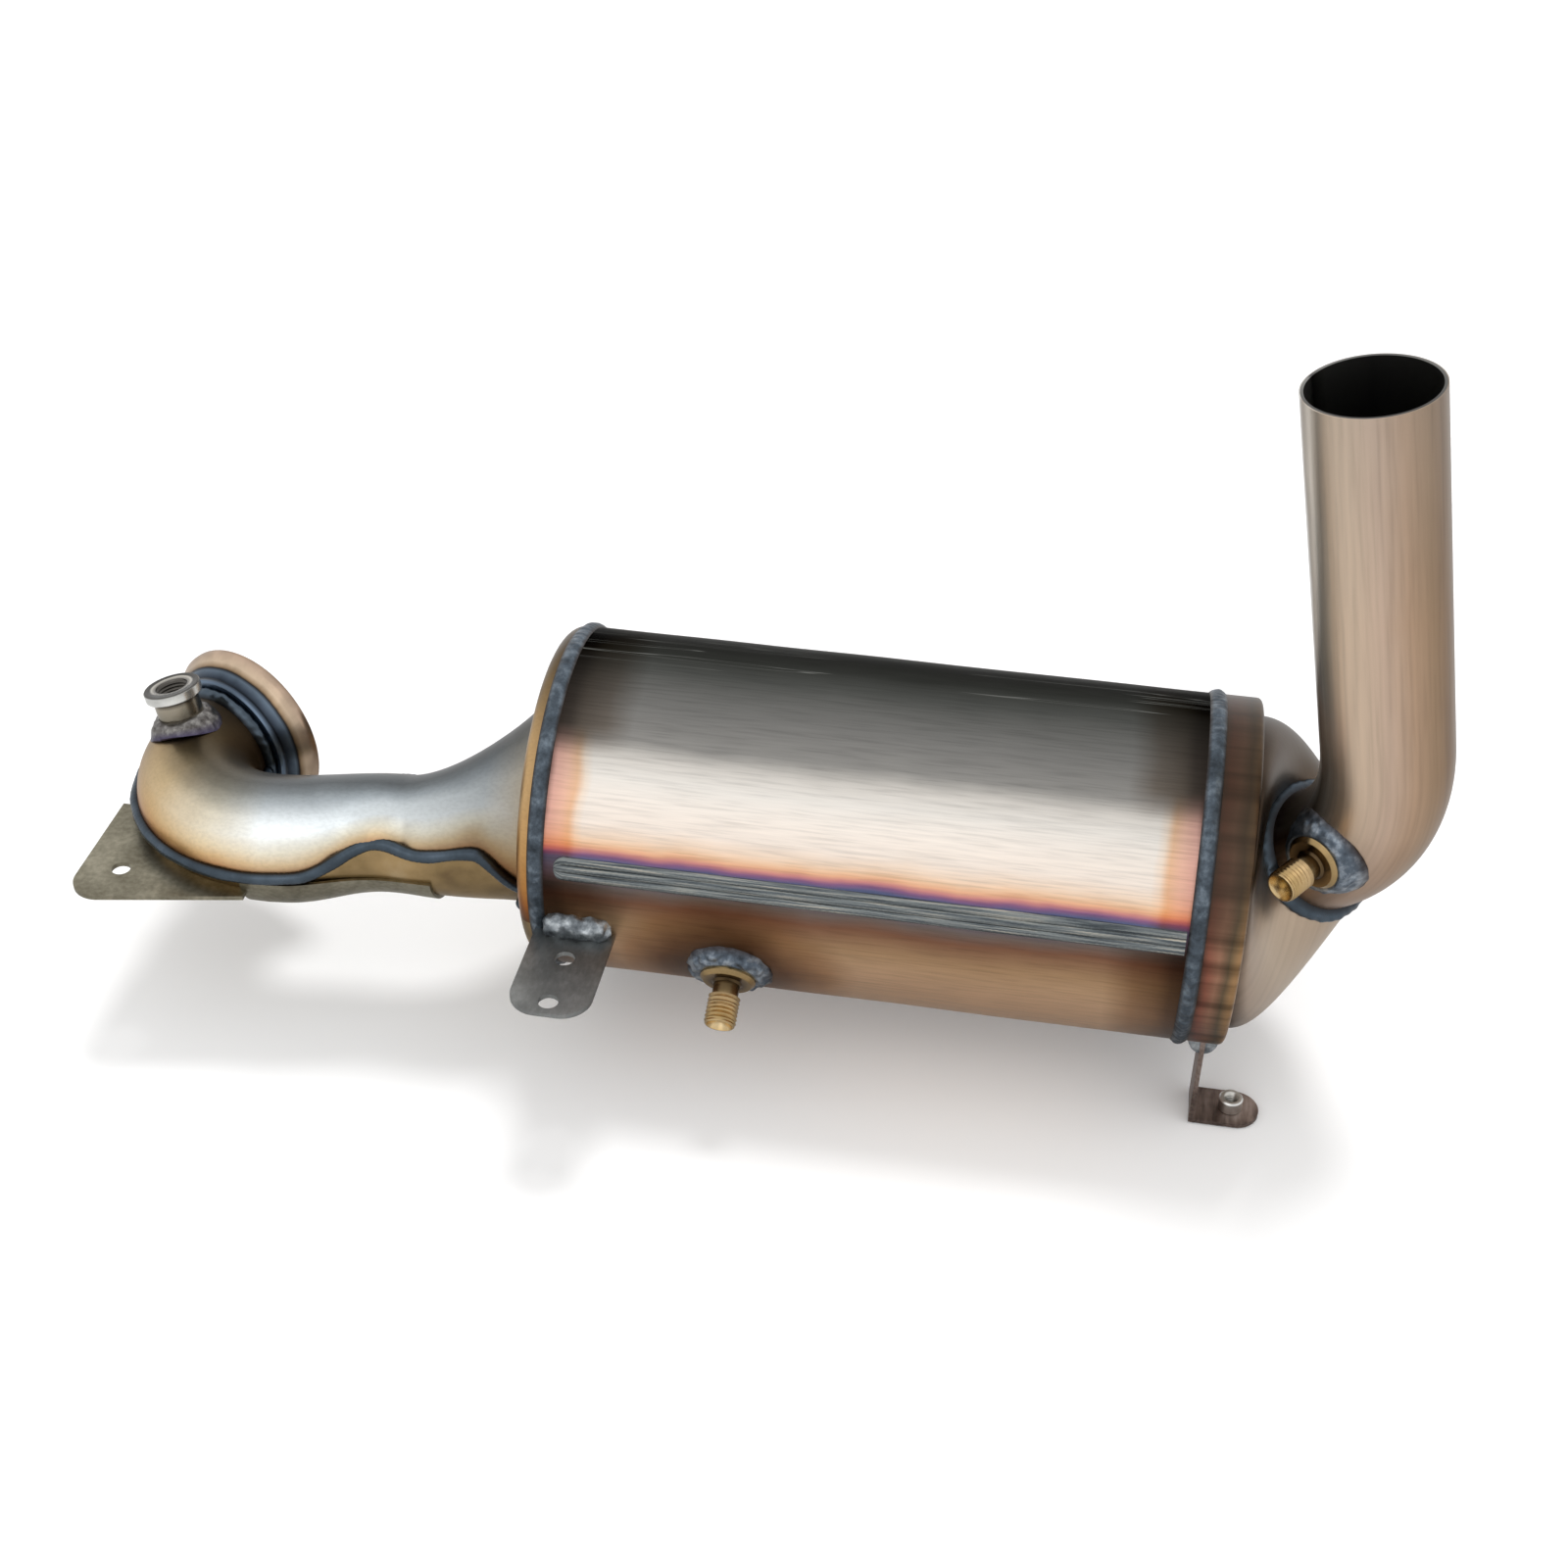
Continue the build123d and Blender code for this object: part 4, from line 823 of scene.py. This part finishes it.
# Along the cap: copper and olive stains on the collar, then near-black at 0.235, which is painted shade where
# the collar turns in to the cone, then tan-grey satin on the cone.
run_colour = add(tree, "ValToRGB", {0: run}, stops=(
    (0.05, "4a3a32"), (0.08, "905c4c"), (0.12, "a07660"), (0.16, "6f5f4b"), (0.19, "a5825c"),
    (0.215, "a5825c"), (0.235, "2b2420"), (0.26, "5e5046"), (0.32, "a89482"), (0.5, "beac98"),
    (0.8, "b4a08c"), (1.0, "7a6350")))[0]
drawn = add(tree, "CombineXYZ", {0: 0.0, 1: spot_turn, 2: 0.0})[0]
dribbles = add(tree, "TexNoise", {"Vector": drawn, "Scale": 70.0, "Detail": 4.0})[0]
shade = add(tree, "ValToRGB", {0: dribbles}, stops=((0.36, "9c9c9c"), (0.5, "e4e4e4"), (0.6, "ffffff")))[0]
collar = add(tree, "MapRange", {0: spot_run, 1: 19.0, 2: 26.0, 3: 0.8, 4: 0.12})[0]
colour = add(tree, "MixRGB", {0: collar, 1: run_colour, 2: shade}, blend_type="MULTIPLY")[0]
height = add(tree, "SeparateXYZ", {0: place})[2]
height = add(tree, "Math", {0: clouds, 1: 0.02, 2: height}, operation="MULTIPLY_ADD")[0]
# Painted dark reflection on the cap's top: the colour goes to brown-black with height.
painted_dark_top_share = add(tree, "MapRange", {0: height, 1: 0.03, 2: 0.056, 3: 0.0, 4: 0.85})[0]
colour = add(tree, "MixRGB", {0: painted_dark_top_share, 1: colour, 2: linear("3d332b")})[0]
marks = brushed(tree, place, (1.0, 1.0, 1.0), 2.6, 0.00005)[1]
bare_metal(tree, colour, 0.36, marks)
cap = skin("outlet_cone", cap, spots(cap_run, np.linspace(0, 1, CAP_SEGMENTS + 1)), capped, loop_along=True)
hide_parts("outlet_cap")


# The outlet pipe: a 50 mm stainless tube with one bend, plugged into the cap's neck and open at the top.
# Its tan satin skin has lengthwise streaks, and its inside is dark grey with the tube's own weld line.
PIPE_LEAN = math.radians(11.24)
PIPE_AXIS = np.array((-math.sin(PIPE_LEAN), 0, math.cos(PIPE_LEAN)))
PIPE_RUN = 188.9
PIPE_BEND = 75.0
PIPE_PLUG = 6.5
INNER_RUN = 1000.0


def pipe_rings():
    """Centres and directions down the pipe: straight from the neck, an arc of the bend's radius that
    touches both runs, and straight up to the mouth."""
    bend = math.acos(NECK_AXIS @ PIPE_AXIS)
    reach = PIPE_BEND * math.tan(bend / 2)
    start = PIPE_CORNER - NECK_AXIS * reach
    inward = PIPE_AXIS - NECK_AXIS * (NECK_AXIS @ PIPE_AXIS)
    inward /= np.linalg.norm(inward)
    turn = np.linspace(0, bend, 60)[:, None]
    arc = start + PIPE_BEND * (np.sin(turn) * NECK_AXIS + (1 - np.cos(turn)) * inward)
    arc_way = np.cos(turn) * NECK_AXIS + np.sin(turn) * inward
    foot = NECK - NECK_AXIS * PIPE_PLUG
    first = foot + (start - foot) * np.linspace(0, 1, 6)[:-1, None]
    mouth = PIPE_CORNER + PIPE_AXIS * PIPE_RUN
    last = arc[-1] + (mouth - arc[-1]) * np.linspace(0, 1, 60)[1:, None]
    first_way = np.tile(NECK_AXIS, (len(first), 1))
    last_way = np.tile(PIPE_AXIS, (len(last), 1))
    return np.concatenate((first, arc, last)), np.concatenate((first_way, arc_way, last_way))


pipe_centres, pipe_ways = pipe_rings()
level = np.cross(NECK_AXIS, PIPE_AXIS)
level /= np.linalg.norm(level)
level_turn = math.atan2(np.cross(PIPE_AXIS, level) @ SIDE, level @ SIDE)
turns = np.linspace(-math.pi, math.pi, 145)
around = np.cross(pipe_ways, level)
turned = turns[:-1] + level_turn
arm = np.cos(turned)[:, None] * level + np.sin(turned)[:, None] * around[:, None]
outside = pipe_centres[:, None] + PIPE_R * arm
inside = (pipe_centres[:, None] + (PIPE_R - WALL) * arm)[::-1]
pipe_run = lengths(pipe_centres)
run = np.concatenate((pipe_run, INNER_RUN + pipe_run[::-1], (0,)))

# Satin stainless: tan in lengthwise streaks, greyer to the top and browner by the joint, with a painted
# highlight and a painted dark line down its left side. The run is longer by INNER_RUN inside, so that the
# finish can tell the bore from the outside.
tube_steel, tree = fresh("satin_stainless_tube")
spot_run, spot_turn = spot_numbers(tree)[:2]
place = add(tree, "TexCoord")["Object"]
clouds = add(tree, "TexNoise", {"Vector": place, "Scale": 30.0, "Detail": 4.0})[0]
moved = add(tree, "Math", {0: clouds, 1: 0.03, 2: spot_turn}, operation="MULTIPLY_ADD")[0]
moved = add(tree, "Math", {0: moved, 1: 0.015}, operation="SUBTRACT")[0]
# Colour round the pipe: tan tones, with a painted highlight at 0.27 and a painted dark reflection line beside
# it at 0.295, down the pipe's left side.
tint_and_painted_light = add(tree, "ValToRGB", {0: moved}, stops=(
    (0.0, "8c8478"), (0.2, "c9c4bb"), (0.27, "f6f3ee"), (0.295, "a09282"), (0.33, "ece2d4"), (0.38, "dec8b0"),
    (0.44, "d6bfa8"), (0.5, "c9b09c"), (0.56, "b89b82"), (0.62, "a0866c"), (0.67, "8a7058"), (0.73, "8c7864"),
    (0.78, "a3927c"), (0.9, "8c8478"), (1.0, "8c8478")))[0]
upper = add(tree, "MapRange", {0: spot_run, 1: 150.0, 2: 250.0, 3: 0.0, 4: 0.35})[0]
colour = add(tree, "MixRGB", {0: upper, 1: tint_and_painted_light, 2: linear("a39d96")})[0]
lines = add(tree, "Mapping", {"Vector": add(tree, "UVMap", uv_map="spot")[0], "Scale": (0.01, 40.0, 1.0)})[0]
streak = add(tree, "TexNoise", {"Vector": lines, "Scale": 1.6, "Detail": 6.0})[0]
shade = add(tree, "ValToRGB", {0: streak}, stops=((0.34, "dcdcdc"), (0.5, "f4f4f4"), (0.66, "ffffff")))[0]
colour = add(tree, "MixRGB", {0: 0.6, 1: colour, 2: shade}, blend_type="MULTIPLY")[0]
joint = add(tree, "MapRange", {0: spot_run, 1: 12.0, 2: 60.0, 3: 0.75, 4: 0.0})[0]
colour = add(tree, "MixRGB", {0: joint, 1: colour, 2: linear("6f533b")})[0]
within = add(tree, "Math", {0: spot_run, 1: INNER_RUN / 2}, operation="GREATER_THAN")[0]
inner = add(tree, "ValToRGB", {0: moved}, stops=(
    (0.0, "5a5a58"), (0.12, "7c7b78"), (0.165, "3c3a38"), (0.18, "8b8a86"), (0.3, "575552"), (0.6, "3d3b38"),
    (0.85, "6e6d6a"), (1.0, "5a5a58")))[0]
colour = add(tree, "MixRGB", {0: within, 1: colour, 2: inner})[0]
marks = brushed(tree, place, (1.0, 1.0, 0.05), 1.8, 0.00004)[1]
bare_metal(tree, colour, 0.34, marks)
pipe = skin("outlet_tube", np.concatenate((outside, inside)), spots(run, (turns + math.pi) / (2 * math.pi)),
            tube_steel, loop_along=True)
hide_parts("outlet_pipe")
bead_ring("neck_bead", "outlet_pipe_weld", NECK, NECK_AXIS, PIPE_R,
          width=8.6, height=4.8, material=bead_metal, seed=9, pitch=4.2)


# The two pressure taps: nipples turned from bar and plated, straw-gold from the heat, with a chamfered
# collar, a waist, a thread and a coned mouth, each set in a mound of weld.
# Along the profile: the pale stop at 0.66 is a painted highlight inside the coned mouth, and the colour
# darkening down the bore to 1.0 is painted shade.
tap_gold = turned_steel("gilded_nipple_steel", (
    (0.0, "7f6c4e"), (0.1, "b39a70"), (0.19, "a58c62"), (0.25, "544430"), (0.32, "7a6648"), (0.38, "c4a87e"),
    (0.55, "b69a6a"), (0.6, "d4ba8c"), (0.66, "efdfba"), (0.72, "8b754e"), (1.0, "463a2a")), 0.24)
tap_weld = weld_metal(
    "tap_weld_steel", "363b42", "616b76", "b4bdc6", rim="38291f", grain_mm=4.0, depth=0.0003)
TAP_MOUND = {"base_r": 18.5, "top_r": 12.4, "hole_r": 11.4, "material": tap_weld}


def tap(name, node, foot, axis):
    """A nipple from its shank in the wall to its coned mouth, and back down its bore."""
    profile = [(5.9, -2.4), (5.9, 1), (11.5, 1), (11.5, 4.4), (9.9, 6), (6.4, 6), (5.4, 6.8), (5.4, 12.2)]
    profile += threaded(12.4, 23.4, 6.6, 5.7, 1.75)
    profile += [(6.2, 24.1), (5.8, 24.5), (5.4, 24.5), (3, 19.5), (3, -2.4)]
    turned_piece(name, node, profile, foot, axis, tap_gold)


up_turn = math.radians(-26.5)
up_axis = np.array((0, -math.cos(up_turn), math.sin(up_turn)))
up_foot = np.array((-HALF + 78, 0, 0)) + up_axis * CAN_R
tap("upstream_tap", "upstream_nipple", up_foot, up_axis)
weld_mound("upstream_tap_weld", "upstream_nipple_weld", up_foot, up_axis, (1, 0, 0), CAN_R,
           height=3.6, seed=31, rough=0.6, **TAP_MOUND)

# The downstream tap stands square to the pipe on the viewer's left side, so far along it.
DOWN_RUN = 36.5
down_middle, down_way = sampled(DOWN_RUN, pipe_run, (pipe_centres, pipe_ways))
down_axis = np.array((-0.61, -0.79, -0.09))
down_axis = down_axis - down_way * (down_axis @ down_way)
down_axis /= np.linalg.norm(down_axis)
down_foot = down_middle + down_axis * PIPE_R
tap("downstream_tap", "downstream_nipple", down_foot, down_axis)
weld_mound("downstream_tap_weld", "downstream_nipple_weld", down_foot, down_axis, down_way, PIPE_R,
           height=4.4, seed=32, rough=0.3, **TAP_MOUND)


# The brackets: flat and bent 2 mm steel sheet, cut by laser and welded on. The can's plate is mid-grey
# with fine scratches, the elbow's sheet olive-grey and brown, and the foot's strip pinkish grey-brown.
def sheet_steel(name, dark, middle, pale, scratch=(1.0, 0.12, 1.0)):
    """Rolled sheet: satin, cloudy grey with scratches that run the way their stretch is least."""
    material, tree = fresh(name)
    place = add(tree, "TexCoord")["Object"]
    clouds = add(tree, "TexNoise", {"Vector": place, "Scale": 55.0, "Detail": 5.0})[0]
    scuffs, marks = brushed(tree, place, scratch, 1.6, 0.00005)
    mixed = add(tree, "Math", {0: scuffs, 1: 0.5, 2: clouds}, operation="MULTIPLY_ADD")[0]
    colour = add(tree, "ValToRGB", {0: mixed}, stops=((0.52, dark), (0.74, middle), (0.96, pale)))[0]
    bare_metal(tree, colour, 0.42, marks)
    return material


def dress(node, material):
    """Gives a CAD node its finish in every slot."""
    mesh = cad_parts[node].data
    mesh.materials.clear()
    mesh.materials.append(material)


dress("can_bracket", sheet_steel("scratched_plate_steel", "727473", "808281", "939594", (1.0, 0.5, 1.0)))
dress("elbow_bracket", sheet_steel("stained_cradle_steel", "6c6656", "868170", "a09a88", (0.7, 0.7, 1.0)))
dress("foot_bracket", sheet_steel("brown_strip_steel", "5a4e48", "8a7a72", "ab9c94"))
lump_metal = weld_metal("bracket_weld_steel", "484d52", "7d8388", "c4cace", grain_mm=2.6, depth=0.0004)
dress("foot_bracket_weld", lump_metal)


# The plate's weld: a grainy silver run of arc weld that fills the corner between the bracket's plate and
# the can, and holds the plate on.
WELD_ROWS = np.linspace(0, 1, 60)
WELD_TURNS = np.linspace(0, 1, 41)


def corner_weld():
    """A bar along X whose section is a circle pushed out of the can and up off the plate, with lumps,
    and ends rounded by the eighth power of the way from its middle."""
    start, length, radius, drop, plate_z, root = -HALF + 2, 29, 6.5, 13, -16.4, 1.0
    x = start + length * WELD_ROWS
    turns = 2 * math.pi * WELD_TURNS[:-1]
    size = radius * np.clip(1 - (2 * WELD_ROWS - 1) ** 8, 0.15, 1) ** 0.5
    y = -math.sqrt(CAN_R ** 2 - drop ** 2) - size[:, None] * np.cos(turns)
    z = -drop + size[:, None] * np.sin(turns)
    points = np.stack((np.broadcast_to(x[:, None], y.shape), y, z), -1)
    points += -normals(points) * (uneven(points, 6, 41) * 0.6 - 0.4)[..., None]
    out = np.hypot(points[..., 1], points[..., 2])
    points[..., 1:] *= np.maximum((CAN_R - root) / out, 1)[..., None]
    points[..., 2] = np.maximum(points[..., 2], plate_z)
    return points


points = corner_weld()
plate_weld = skin("plate_weld_run", points, spots(WELD_ROWS, WELD_TURNS), lump_metal, ends=True)
if (normals(points) * (points - points.mean(1, keepdims=True))).sum() < 0:
    plate_weld.data.flip_normals()
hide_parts("can_bracket_weld")


# The weld nut: a small round nut turned from steel and zinc-plated, welded on top of the foot's tongue
# for a screw from below. Its axis leans by a hair, since a plain upward one has no turn to start from.
NUT_AT = (HALF + 26.5, -36, -98)
NUT_AXIS = (0.0001, 0, 1)
nut_zinc = turned_steel("zinc_plated_nut", (
    (0.0, "b9b9b6"), (0.3, "dededb"), (0.5, "c4c2bc"), (1.0, "5d5a54")))
turned_piece("foot_nut", "weld_nut", [
    (4.7, 0), (5.0, 0.3), (5.0, 5.3), (4.4, 6), (3.2, 6)] + threaded(5.5, 0.5, 3.0, 2.5, 1.0) + [(3.1, 0)],
    NUT_AT, NUT_AXIS, nut_zinc, 48)


# What the can holds: two honeycomb bricks of extruded ceramic, each wrapped in a mat of pressed fibre
# that grips it. The bricks are matt with squarish cells about 1.7 mm wide, the mats pale and hairy.
honeycomb, tree = fresh("extruded_cordierite_honeycomb")
place = add(tree, "TexCoord")["Object"]
cells = add(tree, "TexVoronoi", {"Vector": place, "Scale": 600.0}, distance="CHEBYCHEV")[0]
colour = add(tree, "ValToRGB", {0: cells}, stops=((0.25, "6a6152"), (0.4, "c9bfa8")))[0]
bump = add(tree, "Bump", {"Height": cells, "Distance": 0.0004})[0]
shader = add(tree, "BsdfPrincipled", {"Base Color": colour, "Roughness": 0.85, "Normal": bump})["BSDF"]
add(tree, "OutputMaterial", {"Surface": shader})
dress("oxidation_brick", honeycomb)
dress("filter_brick", honeycomb)
fibre, tree = fresh("pressed_fibre_mat")
place = add(tree, "TexCoord")["Object"]
strands = add(tree, "TexNoise", {"Vector": place, "Scale": 700.0, "Detail": 6.0})[0]
colour = add(tree, "ValToRGB", {0: strands}, stops=((0.35, "b8b0a0"), (0.65, "e6e1d6")))[0]
bump = add(tree, "Bump", {"Height": strands, "Distance": 0.0005})[0]
shader = add(tree, "BsdfPrincipled", {"Base Color": colour, "Roughness": 0.9, "Normal": bump})["BSDF"]
add(tree, "OutputMaterial", {"Surface": shader})
dress("oxidation_mat", fibre)
dress("filter_mat", fibre)

bpy.context.view_layer.update()
